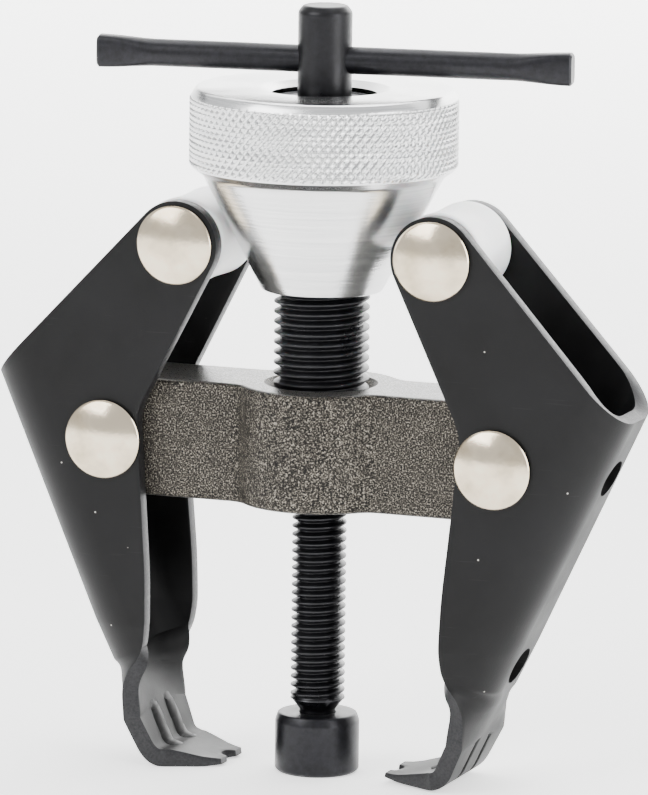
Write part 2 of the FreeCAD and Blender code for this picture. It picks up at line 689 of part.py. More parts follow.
def make_leg_outside(prefix):
    """The leg's outer form, still solid."""
    body = new_body(f"{prefix}_outside")
    sole, knee, elbow, _ = leg_places()
    tip = S["claw_tip_place"]
    side = new_sketch(body, "side_outline", "XZ_Plane")
    eye_outline(side, [
        elbow, knee, (S["web_place"], sole), (S["claw_flat_place"], sole), (tip, sole + S["claw_tip_lift"]),
        (tip, sole + S["claw_tip_top"]), (S["shoulder_place"], -S["shoulder_drop"]),
        (S["waist_place"], S["waist_rise"]),
    ], (roller_x, roller_z), S["eye_radius"])
    circle(side, 0, 0, S["pivot_pin_radius"])
    circle(side, roller_x, roller_z, S["roller_pin_radius"])
    blank = pad(body, "blank", side, BIG, midplane=True)

    base = blank
    bends = [("elbow_round", elbow, S["elbow_radius"]), ("knee_bend", knee, S["knee_radius"]),
             ("claw_bend", (S["web_place"], sole), S["claw_bend_radius"]),
             ("waist_round", (S["waist_place"], S["waist_rise"]), S["waist_radius"])]
    for name, (x, z), radius in bends:
        edges = edges_where(base.Shape, along_y_at(x.value, z.value))
        base = dress(body, "Fillet", name, base, edges, "Radius", radius)

    flared = trim_sides(body, "flares", [(flange_half(BIG), BIG), (flange_half(-BIG), -BIG)])
    lean = math.radians(S["web_lean"].value)

    def web_corner(edge):
        straight = isinstance(edge.Curve, Part.Line) and len(edge.Vertexes) == 2
        if not straight or edge.Length < 20 or abs(edge.CenterOfMass.y) < 1:
            return False
        along = (edge.Vertexes[1].Point - edge.Vertexes[0].Point).normalize()
        return abs(abs(along.x) - math.sin(lean)) < 0.01 and edge.CenterOfMass.x < 0

    corners = edges_where(flared.Shape, web_corner)
    dress(body, "Fillet", "flange_bends", flared, corners, "Radius", S["flange_bend_radius"])

    taper = -S["taper_drop"]
    claw_root = sole + S["claw_root_rise"]
    claw_half = S["claw_half_width"]
    trim_sides(body, "drawn_in_sides", [
        (flange_half(taper) + 0.01, taper), (S["neck_half_width"], -S["neck_drop"]),
        (S["strip_half_width"], -S["strip_drop"]), (claw_half, claw_root), (claw_half, -BIG),
    ])

    claw = new_sketch(body, "claw_outline", "XY_Plane", sole - MARGIN)
    root_x = S["web_place"] + S["claw_bend_radius"]
    tip_half = S["claw_tip_half_width"]
    for turn in (-1, 1):
        polygon(claw, [
            (root_x, claw_half * turn), (tip, tip_half * turn),
            (BIG, tip_half * turn), (BIG, BIG * turn), (root_x, BIG * turn),
        ])
    circle(claw, tip + S["claw_notch_radius"] - S["claw_notch_depth"], 0, S["claw_notch_radius"])
    pocket(body, "claw_sides", claw, MARGIN + S["claw_bend_radius"] * 1.35, reverse=True)
    return body


def cavity_body(name, corners, bends, half_widths=None):
    """A cutting solid: a side outline, rounded at its bends, trimmed in width."""
    body = new_body(name)
    side = new_sketch(body, "cavity_outline", "XZ_Plane")
    polygon(side, corners)
    base = pad(body, "cavity", side, BIG, midplane=True)
    for label, (x, z), radius in bends:
        edges = edges_where(base.Shape, along_y_at(as_size(x).value, as_size(z).value))
        base = dress(body, "Fillet", label, base, edges, "Radius", radius)
    if half_widths is not None:
        trim_sides(body, "cavity_flares", half_widths)
    return body


def make_cavities(prefix):
    """The channel inside the leg, and the space over the claw at full width."""
    sole, knee, _, inner_knee = leg_places()
    sheet_gap = S["sheet_thickness"]
    web_inside = S["web_place"] + sheet_gap
    floor = sole + sheet_gap
    root_x = S["web_place"] + S["claw_bend_radius"] + S["claw_root_run"]
    tip = S["claw_tip_place"]
    bend = S["claw_bend_radius"] - sheet_gap
    top_x = inner_knee[0] - (BIG - inner_knee[1]) * tangent(S["web_lean"])
    claw_run = [(root_x, floor), (tip, sole + S["claw_tip_top"]), (BIG, sole + S["claw_tip_top"])]
    inner_half = [(flange_half(z) - sheet_gap, z) for z in (BIG + MARGIN, -BIG)]
    channel = cavity_body(
        f"{prefix}_channel",
        [(top_x, BIG), inner_knee, (web_inside, floor)] + claw_run + [(BIG, BIG)],
        [("inner_knee", inner_knee, S["knee_radius"] - sheet_gap), ("inner_bend", (web_inside, floor), bend)],
        inner_half)
    run_out = -S["flange_end_drop"]
    over_claw = cavity_body(
        f"{prefix}_over_claw",
        [(web_inside, run_out), (web_inside, floor)] + claw_run
        + [(BIG, -S["shoulder_drop"]), (S["shoulder_place"], -S["shoulder_drop"])],
        [("inner_bend", (web_inside, floor), bend)])
    return [channel, over_claw]


def web_hole(prefix, name, distance):
    """A round tool square to the web, at a distance below the elbow."""
    _, _, elbow, _ = leg_places()
    lean = S["web_lean"].value
    along = Vector(math.sin(math.radians(lean)), 0, -math.cos(math.radians(lean)))
    middle = Vector(elbow[0].value, 0, elbow[1].value) + along * distance.value
    reach = S["sheet_thickness"] * 2
    tool = document.addObject("Part::Cylinder", f"{prefix}_{name}")
    bind(tool, "Radius", S["web_hole_radius"])
    bind(tool, "Height", reach * 2)
    across = Vector(math.cos(math.radians(lean)), 0, math.sin(math.radians(lean)))
    turn = Rotation(Vector(0, 0, 1), across)
    tool.Placement = Placement(middle - across * reach.value, turn)
    return tool


def bead(prefix, name, ring_radius, y):
    """Part of a ring round the claw's bend: a pressed bead."""
    ring = document.addObject("Part::Torus", f"{prefix}_{name}")
    bind(ring, "Radius1", ring_radius)
    bind(ring, "Radius2", S["bead_radius"])
    bind(ring, "Angle3", S["bead_sweep"])
    bend = S["claw_bend_radius"].value
    centre = Vector(S["web_place"].value + bend, y, bend - S["claw_depth"].value)
    start = S["bead_middle"].value - S["bead_sweep"].value / 2
    facing = Rotation(Vector(1, 0, 0), Vector(0, 0, 1), Vector(0, -1, 0), "XYZ")
    ring.Placement = Placement(centre, facing.multiply(Rotation(Vector(0, 0, 1), start)))
    return ring


def combine(kind, name, **links):
    thing = document.addObject(f"Part::{kind}", name)
    for prop, value in links.items():
        setattr(thing, prop, value)
    document.recompute()
    return thing


def make_leg(name, side, slack):
    """Pressed channel lever: flanges round the yoke, a web outside, a claw below."""
    outside = make_leg_outside(name)
    tools = make_cavities(name)
    tools.append(web_hole(name, "upper_hole", S["upper_web_hole"]))
    tools.append(web_hole(name, "lower_hole", S["lower_web_hole"]))
    outer_ring = S["claw_bend_radius"]
    inner_ring = S["claw_bend_radius"] - S["sheet_thickness"]
    ridges = []
    for label, way in (("front", -1), ("back", 1)):
        y = S["bead_place"].value * way
        ridges.append(bead(name, f"{label}_ridge", inner_ring, y))
        tools.append(bead(name, f"{label}_groove", outer_ring, y))
    removed = combine("MultiFuse", f"{name}_removed", Shapes=tools[:4])
    shell = combine("Cut", f"{name}_shell", Base=outside, Tool=removed)
    ridged = combine("MultiFuse", f"{name}_ridged", Shapes=[shell] + ridges)
    grooves = combine("MultiFuse", f"{name}_grooves", Shapes=tools[4:])
    leg = combine("Cut", name, Base=ridged, Tool=grooves)
    leg.Label = name
    facing = Rotation(Vector(0, 0, 1), 0 if side < 0 else 180)
    turn = facing.multiply(Rotation(Vector(0, 1, 0), -slack))
    leg.Placement = Placement(Vector(side * S["pivot_half_span"].value, 0, S["claw_depth"].value), turn)
    return leg


# ---------------------------------------------------------------------- assembly
def build():
    parts = [make_yoke(), make_guide_sleeve(), make_cone_nut(), make_forcing_spindle()]
    parts += [make_tommy_bar(), make_pressure_foot(), make_foot_snap_ring()]
    for name, side, slack in (("left", -1, 0), ("right", 1, S["right_leg_slack"].value)):
        lean = math.radians(S["lever_lean"].value - slack)
        pivot_x = side * S["pivot_half_span"].value
        pivot_z = S["claw_depth"].value
        upper_x = pivot_x - side * S["lever_length"].value * math.sin(lean)
        upper_z = pivot_z + S["lever_length"].value * math.cos(lean)
        parts.append(make_leg(f"{name}_leg", side, slack))
        pivot = make_rivet(f"{name}_pivot_rivet", S["pivot_pin_radius"], ZERO)
        pivot.Placement = stand_along_y(pivot_x, pivot_z)
        carried = [make_rivet(f"{name}_roller_rivet", S["roller_pin_radius"], roller_z),
                   make_roller_bush(f"{name}_roller_bush"), make_roller(f"{name}_roller")]
        for piece in carried:
            piece.Placement = stand_along_y(upper_x, upper_z)
        parts += [pivot] + carried
    document.recompute()
    return parts


def check_and_write(parts):
    """Stop on any failed feature or shape, then write each part's own file."""
    for thing in document.Objects:
        if "Invalid" in thing.State or "Error" in thing.State:
            raise RuntimeError(f"{thing.Name} failed: {thing.State}")
    for part in parts:
        if part.Shape.isNull() or not part.Shape.isValid():
            raise RuntimeError(f"{part.Label} has no valid shape")
    os.makedirs("parts", exist_ok=True)
    for part in parts:
        part.Shape.exportStep(f"parts/{part.Label}.step")
        print(f"{part.Label}: {part.Shape.Volume:.0f} mm3, {len(part.Shape.Solids)} solid")


check_and_write(build())
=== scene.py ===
# %% [markdown]
# # A two-leg cone puller, dressed for its portrait
#
# The tool has a threaded spindle, a yoke with a threaded sleeve, a knurled cone
# nut that runs on the sleeve, and two pressed-steel legs. Screwing the nut down
# spreads the rollers at the top of the legs, so the claws below close.
#
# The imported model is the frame: every piece made here takes its place from it
# and rides on one of its bodies. Lengths below are in millimetres, because that
# is how such a tool is drawn, and are turned to metres when a mesh is made.

import math

import bmesh
import bpy
import numpy as np
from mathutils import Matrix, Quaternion, Vector


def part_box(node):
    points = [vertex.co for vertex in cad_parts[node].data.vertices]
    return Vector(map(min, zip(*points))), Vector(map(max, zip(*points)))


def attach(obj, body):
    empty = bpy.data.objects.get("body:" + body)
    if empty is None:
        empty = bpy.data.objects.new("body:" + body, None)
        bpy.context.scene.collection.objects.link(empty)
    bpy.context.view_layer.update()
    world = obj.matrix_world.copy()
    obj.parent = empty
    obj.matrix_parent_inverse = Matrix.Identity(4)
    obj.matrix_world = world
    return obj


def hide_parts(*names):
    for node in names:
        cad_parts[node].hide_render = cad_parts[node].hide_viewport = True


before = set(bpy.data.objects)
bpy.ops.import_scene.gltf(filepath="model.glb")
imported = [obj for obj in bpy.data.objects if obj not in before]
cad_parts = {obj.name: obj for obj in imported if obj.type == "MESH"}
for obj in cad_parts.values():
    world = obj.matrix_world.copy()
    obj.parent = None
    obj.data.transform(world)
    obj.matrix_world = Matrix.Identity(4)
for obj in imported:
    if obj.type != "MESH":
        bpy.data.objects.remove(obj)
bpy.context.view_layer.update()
MM = 0.001
PIVOT_X, PIVOT_Z = 30.2, 48.9


def node_box(name):
    """Lowest and highest corner of a node, as arrays in millimetres."""
    low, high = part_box(name)
    return np.array(low) / MM, np.array(high) / MM


def middle(name):
    low, high = node_box(name)
    return (low + high) / 2


# %% [markdown]
# ## From arrays to meshes
#
# Most pieces are grids: rows along one direction, columns along the other. One
# could add primitives and push their points about, but a grid worked out with
# numpy is exact, repeatable and quick, and its formula is there to be read.
# Rows that meet, at a pole or a seam, are merged, so that every shell is closed.

# %% Grid to mesh
def mesh_object(name, points, faces):
    """An object in the scene, from points in mm and faces as rows of point numbers."""
    mesh = bpy.data.meshes.new(name)
    mesh.from_pydata((points.reshape(-1, 3) * MM).tolist(), [], faces.tolist())
    made = bpy.data.objects.new(name, mesh)
    bpy.context.scene.collection.objects.link(made)
    return made


def new_piece(name, points, faces, body, node=None, slot=None, sharp=35.0, merge=0.002):
    """A mesh object merged, facing outwards, with crisp edges, riding on a body."""
    piece = mesh_object(name, points, faces)
    mesh = piece.data
    tidy_mesh(mesh, sharp, merge)
    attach(piece, body)
    if node:
        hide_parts(node)
    print(f"{name}: {len(mesh.vertices)} points, {len(mesh.polygons)} faces")
    return piece


def mark_edges(edit, sharp):
    """Keep an edge smooth unless its two faces meet at more than a limit in degrees."""
    limit = math.radians(sharp)
    for edge in edit.edges:
        edge.smooth = edge.calc_face_angle(0.0) < limit


def tidy_mesh(mesh, sharp, merge=0.002):
    """Merge doubles, turn the faces outwards and mark edges sharper than a limit."""
    edit = bmesh.new()
    edit.from_mesh(mesh)
    bmesh.ops.remove_doubles(edit, verts=edit.verts, dist=merge * MM)
    bmesh.ops.dissolve_degenerate(edit, edges=edit.edges, dist=merge * MM)
    bmesh.ops.recalc_face_normals(edit, faces=edit.faces)
    mark_edges(edit, sharp)
    for face in edit.faces:
        face.smooth = True
    edit.to_mesh(mesh)
    edit.free()


def grid_faces(rows, columns, wrap_rows=False, wrap_columns=False):
    """Quads of a grid of points, closed on itself where a direction wraps."""
    i = np.arange(rows if wrap_rows else rows - 1)
    j = np.arange(columns if wrap_columns else columns - 1)
    i, j = (a.ravel() for a in np.meshgrid(i, j, indexing="ij"))
    i2, j2 = (i + 1) % rows, (j + 1) % columns
    return np.stack([i * columns + j, i2 * columns + j, i2 * columns + j2, i * columns + j2], axis=1)


# %% [markdown]
# ## Turned pieces
#
# The rivets, rollers, foot, nut, sleeve and spindle all came off a lathe. A
# lathe piece is a profile of radius and height carried round an axis. Corners
# of the profile are rounded a little, because no real edge is a perfect corner,
# and that small round is what catches a line of light.

# %% Lathe helpers
def rounded(corners, radius, steps=4, closed=True):
    """A polygon with each corner cut back by radius and bridged by a smooth curve.

    Each bridge is a quadratic curve from the point before the corner to the one
    after it, with the corner as its control point.
    """
    corners = np.asarray(corners, float)
    radii = np.broadcast_to(radius, len(corners))
    before = np.roll(corners, 1, axis=0) - corners
    after = np.roll(corners, -1, axis=0) - corners
    t = np.linspace(0, 1, steps)[:, None]
    out = []
    for k, corner in enumerate(corners):
        end = not closed and k in (0, len(corners) - 1)
        if end or radii[k] == 0:
            out.append(corner[None])
            continue
        cut = min(radii[k], 0.48 * np.hypot(*before[k]), 0.48 * np.hypot(*after[k]))
        a = corner + before[k] / np.hypot(*before[k]) * cut
        b = corner + after[k] / np.hypot(*after[k]) * cut
        out.append((1 - t) ** 2 * a + 2 * t * (1 - t) * corner + t ** 2 * b)
    return np.concatenate(out)


def turn(profile, count, centre=(0, 0, 0), axis="Z"):
    """Points (radius cos a, radius sin a, height) for each angle a and profile point."""
    angle = np.linspace(0, 2 * math.pi, count, endpoint=False)[:, None]
    r, h = profile[None, :, 0], profile[None, :, 1]
    x, y, z = r * np.cos(angle), r * np.sin(angle), h + 0 * angle
    parts = (x, y, z) if axis == "Z" else (x, z, -y)
    return np.stack(parts, axis=-1).reshape(-1, 3) + np.array(centre, float)


def turned_piece(name, profile, count, body, closed, centre=(0, 0, 0), axis="Z", **finish):
    points = turn(profile, count, centre, axis)
    faces = grid_faces(count, len(profile), wrap_rows=True, wrap_columns=closed)
    return new_piece(name, points, faces, body, **finish)


# %% [markdown]
# ## One helper for shader nodes
#
# Colours are written as the hex values a designer would pick on a screen, and
# one function turns them to the linear values that light is computed in. One
# more adds a node with its settings and links. Patterns are sized in real
# millimetres: a noise of scale 1000 on metre coordinates has about 1 mm blobs.

# %% Material helpers
def linear(code):
    """Hex sRGB colour to linear RGBA."""
    channels = [int(code[k:k + 2], 16) / 255 for k in (0, 2, 4)]
    return [c / 12.92 if c <= 0.04045 else ((c + 0.055) / 1.055) ** 2.4 for c in channels] + [1.0]


def per_mm(size):
    """Texture scale for features of a size in mm."""
    return 1000.0 / size


def add_node(tree, kind, sockets=None, **properties):
    """Add a node, set its properties, then link or set each socket that is named."""
    node = tree.nodes.new(kind)
    for key, value in properties.items():
        setattr(node, key, value)
    for key, value in (sockets or {}).items():
        in_use = [s for s in node.inputs if s.enabled and key in (s.name, s.identifier)]
        target = node.inputs[key] if isinstance(key, int) else in_use[0]
        if isinstance(value, bpy.types.NodeSocket):
            tree.links.new(value, target)
        else:
            target.default_value = value
    return node


def result(node):
    """The first output in use."""
    return next(s for s in node.outputs if s.enabled)


def new_material(name, **settings):
    """A named material with one shader whose plain values are set on its sockets."""
    material = bpy.data.materials.new(name)
    material.use_nodes = True
    tree = material.node_tree
    shader = tree.nodes["Principled BSDF"]
    for label, value in settings.items():
        shader.inputs[label.replace("_", " ")].default_value = value
    coordinates = add_node(tree, "ShaderNodeTexCoord").outputs["Object"]
    return material, tree, shader, coordinates


def ramp(tree, source, stops):
    """A colour ramp over (place, hex colour) stops."""
    node = add_node(tree, "ShaderNodeValToRGB", {"Fac": source})
    band = node.color_ramp
    while len(band.elements) < len(stops):
        band.elements.new(0.5)
    for element, (place, code) in zip(band.elements, stops):
        element.position = place
        element.color = linear(code)
    return node.outputs["Color"]


def spread(tree, source, low, high, start=0.0, end=1.0):
    """Map a 0-1 value to the range low..high between start and end."""
    ends = {"Value": source, "From Min": start, "From Max": end, "To Min": low, "To Max": high}
    return result(add_node(tree, "ShaderNodeMapRange", ends))


def noise(tree, at, size, detail=3.0, roughness=0.5, stretch=None):
    """Noise with features of a size in mm, longer along a direction if stretched."""
    if stretch:
        at = result(add_node(tree, "ShaderNodeMapping", {"Vector": at, "Scale": stretch}))
    sockets = {"Vector": at, "Scale": per_mm(size), "Detail": detail, "Roughness": roughness}
    return result(add_node(tree, "ShaderNodeTexNoise", sockets))


def math_node(tree, operation, first, second):
    return result(add_node(tree, "ShaderNodeMath", {0: first, 1: second}, operation=operation))


def blend_colours(tree, factor, a, b):
    """Colour a where factor is 0 and b where it is 1; hex strings or sockets."""
    a, b = (linear(c) if isinstance(c, str) else c for c in (a, b))
    return result(add_node(tree, "ShaderNodeMix", {"Factor": factor, "A": a, "B": b}, data_type="RGBA"))


def bump(tree, shader, height, depth_mm, strength=1.0):
    sockets = {"Height": height, "Strength": strength, "Distance": depth_mm * MM}
    node = add_node(tree, "ShaderNodeBump", sockets)
    tree.links.new(result(node), shader.inputs["Normal"])


def paint(piece, material):
    piece.data.materials.clear()
    piece.data.materials.append(material)


# %% [markdown]
# ## Black oxide on hardened steel
#
# The spindle, sleeve, bar and foot are turned steel, blackened in a hot oxide
# bath and oiled. The coat is thin, so it is a nearly black satin: not a paint
# film, but steel seen through a dark skin. It rubs through first on edges.

# %% Black oxide material
def black_oxide(name, dark, light, roughness, worn="6d6d70", wear=0.35):
    material, tree, shader, at = new_material(name, Metallic=0.55)
    fine = noise(tree, at, 0.9, 6.0, 0.65)
    cloud = noise(tree, at, 9)
    base = ramp(tree, fine, [(0.32, dark), (0.72, light)])
    edge = add_node(tree, "ShaderNodeNewGeometry").outputs["Pointiness"]
    rubbed = math_node(tree, "MULTIPLY", spread(tree, edge, 0, wear, 0.53, 0.62), cloud)
    tree.links.new(blend_colours(tree, rubbed, base, worn), shader.inputs["Base Color"])
    rough = spread(tree, cloud, roughness - 0.08, roughness + 0.1, 0.3, 0.7)
    tree.links.new(rough, shader.inputs["Roughness"])
    bump(tree, shader, fine, 0.03, 0.5)
    return material


oxide = black_oxide("black_oxide_turned_steel", "0c0c0f", "1d1d22", 0.36)
oxide_thread = black_oxide("black_oxide_screw_thread", "0b0b0d", "17171b", 0.33, worn="8a8a8e", wear=0.8)
print(oxide.name, oxide_thread.name)

# %% [markdown]
# ## Threads
#
# A thread could be faked with rings or a bump map, but rings don't climb and a
# bump map leaves the silhouette smooth. Here the surface itself is the helix:
# the profile's height at an angle is shifted by the pitch times that share of a
# turn, so after a full turn each crest has become the next one. Heights outside
# the threaded run are clipped, which closes the thread cleanly at both ends.

# %% Helical surface
CREST = np.array([0.00, 0.06, 0.12, 0.40, 0.47, 0.53, 0.60, 0.88, 0.94])
DEPTH = np.array([0.00, 0.00, 0.07, 0.93, 1.00, 1.00, 0.93, 0.07, 0.00])


def threaded(before, low, high, after, crest, pitch, count, fade=0.8, depth=0.61):
    """Points of a lathe piece whose run from low to high is a helical thread.

    Height = place along the pitch + pitch x turn; radius = crest - depth x the
    60 degree profile, faded to nothing over a few tenths of a turn at the ends.
    """
    turns = np.arange(-1, int((high - low) / pitch) + 2)
    share = np.concatenate([k + CREST for k in turns])
    dip = np.tile(DEPTH, len(turns))
    angle = np.linspace(0, 2 * math.pi, count, endpoint=False)[:, None]
    z = low + pitch * (share[None] + angle / (2 * math.pi))
    fading = np.clip((z - low) / (fade * pitch), 0, 1) * np.clip((high - z) / (fade * pitch), 0, 1)
    radius = crest - depth * pitch * dip[None] * np.clip(fading, 0, 1)
    z = np.clip(z, low, high)
    ends = [np.broadcast_to(np.asarray(p, float)[None], (count, len(p), 2)) for p in (before, after)]
    run = np.stack([radius, z], axis=-1)
    whole = np.concatenate([ends[0], run, ends[1]], axis=1)
    r, h = whole[..., 0], whole[..., 1]
    return np.stack([r * np.cos(angle), r * np.sin(angle), h], axis=-1)


def thread_faces(count, before, run, after, per_turn, closed):
    """Quads of the grid; across the seam the run is joined one thread further on."""
    columns = before + run + after
    faces = grid_faces(count, columns, wrap_rows=False, wrap_columns=closed)
    j = np.arange(columns if closed else columns - 1)
    here = (count - 1) * columns
    j2 = (j + 1) % columns

    def onward(col):
        inside = (col >= before) & (col < before + run)
        moved = np.clip(col + per_turn, before, before + run - 1)
        return np.where(inside, moved, col)

    seam = np.stack([here + j, onward(j), onward(j2), here + j2], axis=1)
    return np.concatenate([faces, seam])


def threaded_piece(name, before, low, high, after, crest, pitch, count, body, closed, **finish):
    points = threaded(before, low, high, after, crest, pitch, count)
    run = points.shape[1] - len(before) - len(after)
    faces = thread_faces(count, len(before), run, len(after), len(CREST), closed)
    return new_piece(name, points, faces, body, **finish)


# %% [markdown]
# ## The forcing spindle
#
# An M8 screw with a fine 1.25 mm pitch. Its nose sits in the foot, its thread
# runs in the sleeve, and its plain head is cross-drilled for the sliding bar.
# The bar fills that hole, so the head is left whole and the bar runs through it.

# %% Spindle
top = node_box("forcing_spindle")[1][2]
spindle_r, spindle_pitch, thread_low, thread_high = 4.0, 1.25, 10.9, 92.0
nose = rounded([(0, 2.0), (1.8, 2.0), (2.6, 2.7), (2.6, 9.2), (3.24, 10.1), (3.9, thread_low)],
               0.15, closed=False)
head = rounded([(3.55, 92.6), (3.95, 93.4), (3.95, top - 0.95), (3.2, top), (0, top)],
               (0, 0.3, 0.35, 0.35, 0), steps=5, closed=False)
spindle = threaded_piece("spindle_screw", nose, thread_low, thread_high, head, spindle_r, spindle_pitch,
                         72, "spindle", False,
                         node="forcing_spindle", slot="black_oxide_steel", sharp=28)
paint(spindle, oxide_thread)

# %% [markdown]
# ## The guide sleeve
#
# A tube fixed in the yoke: M14 x 1.5 outside for the nut, M8 inside for the
# spindle. Only the outside thread can be seen, so the bore is left smooth.

# %% Sleeve
sleeve_low, sleeve_high = node_box("guide_sleeve")
z0, z1 = sleeve_low[2], sleeve_high[2]
yoke_low, yoke_high = node_box("yoke")
sleeve_r, sleeve_pitch, thread_start = 7.0, 1.5, yoke_high[2] - 0.8
tube = [(4.05, z1 - 0.6), (4.05, z0 + 0.6), (4.6, z0),
        (6.4, z0), (sleeve_r, z0 + 0.6), (sleeve_r, thread_start)]
sleeve = threaded_piece("guide_sleeve_thread", tube, thread_start, z1 - 1.0, [(6.4, z1), (4.6, z1)],
                        sleeve_r, sleeve_pitch, 96,
                        "yoke", True, node="guide_sleeve", slot="black_oxide_steel", sharp=28)
paint(sleeve, oxide_thread)

# %% [markdown]
# ## The sliding bar
#
# A plain round bar, pushed through the head. Each end is squeezed flat in a
# press, so it bulges taller and thinner and can't slide out. The section is a
# superellipse whose two half sizes and squareness change over the last stretch.

# %% Bar
def pressed_bar(length, flat, radius, tall, thin, columns=40):
    """Section |y/thin|^n + |z/tall|^n = 1, with n from 2 in the shank to 4.2 in the flats."""
    half = length / 2
    fade = half - flat
    x = np.concatenate([np.linspace(-half, -fade, 22), np.linspace(-fade + 2, fade - 2, 16),
                        np.linspace(fade, half, 22)])
    s = np.clip((np.abs(x) - fade) / flat, 0, 1)
    press = s * s * (3 - 2 * s)
    bulge = np.clip(press * 1.35, 0, 1)
    power = 2 + 2.2 * bulge
    a = np.linspace(0, 2 * math.pi, columns, endpoint=False)
    y = np.sign(np.cos(a)) * np.abs(np.cos(a))[None] ** (2 / power[:, None])
    z = np.sign(np.sin(a)) * np.abs(np.sin(a))[None] ** (2 / power[:, None])
    y = y * (radius + (thin - radius) * press)[:, None]
    z = z * (radius + (tall - radius) * press)[:, None]
    rows = np.stack([np.broadcast_to(x[:, None], y.shape), y, z], axis=-1)
    face = rows[[0, 0, -1, -1]].copy()
    face[[0, 3], :, 1:] = 0
    face[[1, 2], :, 1:] *= 0.86
    rows[0, :, 0] += 0.3
    rows[-1, :, 0] -= 0.3
    return np.concatenate([face[:2], rows, face[2:]])


bar_rows = pressed_bar(length=70.4, flat=9.0, radius=2.0, tall=2.4, thin=1.6)
bar_turn = math.radians(8.3)
bar_place = middle("tommy_bar")
ca, sa = math.cos(bar_turn), math.sin(bar_turn)
flat_points = bar_rows.reshape(-1, 3)
bar_x, bar_y, bar_z = flat_points.T
bar_points = np.stack([bar_x * ca - bar_y * sa, bar_x * sa + bar_y * ca, bar_z], axis=1) + bar_place
bar = new_piece("sliding_bar", bar_points, grid_faces(*bar_rows.shape[:2], wrap_columns=True), "tommy_bar",
                node="tommy_bar", slot="black_oxide_steel", sharp=30)
paint(bar, oxide)

# %% [markdown]
# ## The pressure foot
#
# A short turned pad on the spindle's nose. It stays still on the work while the
# spindle turns in it. Its top edge is chamfered and its bottom edge broken.

# %% Foot
foot_profile = rounded([(0, 0), (5.75, 0), (6.2, 0.45), (6.2, 7.6), (5.8, 8.8),
                        (2.75, 8.8), (2.65, 8.5), (2.65, 1.8), (0, 1.8)],
                       (0, 0.2, 0.2, 0.25, 0.3, 0.1, 0, 0, 0), closed=False)
foot = turned_piece("pressure_foot_pad", foot_profile, 96, "foot", False, node="pressure_foot",
                    slot="black_oxide_steel")
paint(foot, oxide)

# %% [markdown]
# ## The cone nut
#
# Turned aluminium: a cone that spreads the rollers and a band to grip, with a
# diamond knurl. A knurl is two sets of grooves rolled in at opposite slants.
# With a groove counter for each set, the height at a point is the smaller of
# the two distances to the nearest groove, each times a slope of its own, cut
# off flat at the top: a field of blunt little pyramids. It is real relief, so
# the band's outline is toothed too. The grid leans with one set of grooves, so
# those fall on grid lines and stay crisp with few points.

# %% Nut
nut_z = node_box("cone_nut")[0][2]
knurl_cells, knurl_rise, knurl_depth = 88, 1.55, 0.5
band_low, band_high, band_radius, edge_width, edge_drop = 18.35, 28.35, 19.6, 0.3, 0.2
slopes = (2.3, 1.45)


def knurl_height(angle, z):
    """min(slope x distance to the nearest groove of a set): 0 in a groove, 1 on a flat top."""
    across, along = angle * knurl_cells / (2 * math.pi), z / knurl_rise
    near = [1 - np.abs(((across + s * along) % 1) * 2 - 1) for s in (1, -1)]
    return np.clip(np.minimum(near[0] * slopes[0], near[1] * slopes[1]), 0, 1)


below = rounded([(7.05, 28.2), (7.05, 0.7), (7.75, 0), (8.8, 0), (17.7, 17.0), (19.3, 18.1)],
                (0, 0.1, 0.1, 0.25, 0.5, 0), steps=5, closed=False)
above = rounded([(19.3, 28.6), (18.7, 29.5), (18.3, 29.6), (9.5, 29.6), (7.7, 28.75)], (0, 0.2, 0.2, 0.25, 0),
                steps=4, closed=False)
cone_run = np.linspace(0.08, 0.95, 24)[:, None]
cone_at = np.argmax(below[:, 1] > 1.0)
cone_rows = below[cone_at - 1] * (1 - cone_run) + below[cone_at] * cone_run
band_z = np.linspace(band_low, band_high, 68)
nut_columns = knurl_cells * 8
nut_angle = np.linspace(0, 2 * math.pi, nut_columns, endpoint=False)[:, None]
edge_fade = np.clip(np.minimum(band_z - band_low, band_high - band_z) / edge_width, 0, 1)
band_lean = (band_z - band_low) / knurl_rise * 2 * math.pi / knurl_cells
band_angle = nut_angle + band_lean[None]
groove = knurl_depth * (1 - knurl_height(band_angle, band_z[None]))
band_r = band_radius - groove * edge_fade - edge_drop * (1 - edge_fade)
fixed = [np.concatenate([below[:cone_at], cone_rows, below[cone_at:]]), above]
fixed = [np.broadcast_to(rows[None], (nut_columns, len(rows), 2)) for rows in fixed]
band = np.stack([band_r, np.broadcast_to(band_z, band_r.shape)], axis=-1)
nut_grid = np.concatenate([fixed[0], band, fixed[1]], axis=1)
lean = np.concatenate([np.zeros(fixed[0].shape[1]), band_lean, np.full(fixed[1].shape[1], band_lean[-1])])
around = nut_angle + lean[None]
nut_points = np.stack([nut_grid[..., 0] * np.cos(around), nut_grid[..., 0] * np.sin(around),
                       nut_grid[..., 1] + nut_z], axis=-1)
nut = new_piece("cone_nut_knurled", nut_points,
                grid_faces(*nut_grid.shape[:2], wrap_rows=True, wrap_columns=True), "cone_nut",
                node="cone_nut", slot="turned_aluminium", sharp=22, merge=0.004)

# %% [markdown]
# Turned aluminium keeps the track of the tool: fine rings round the axis. They
# smear each reflection across themselves, so the metal is anisotropic, and the
# rings are drawn as noise that is short along the axis and very long round it.
# The real rings are about 0.1 mm apart; here they are 0.25 mm, to show at all.

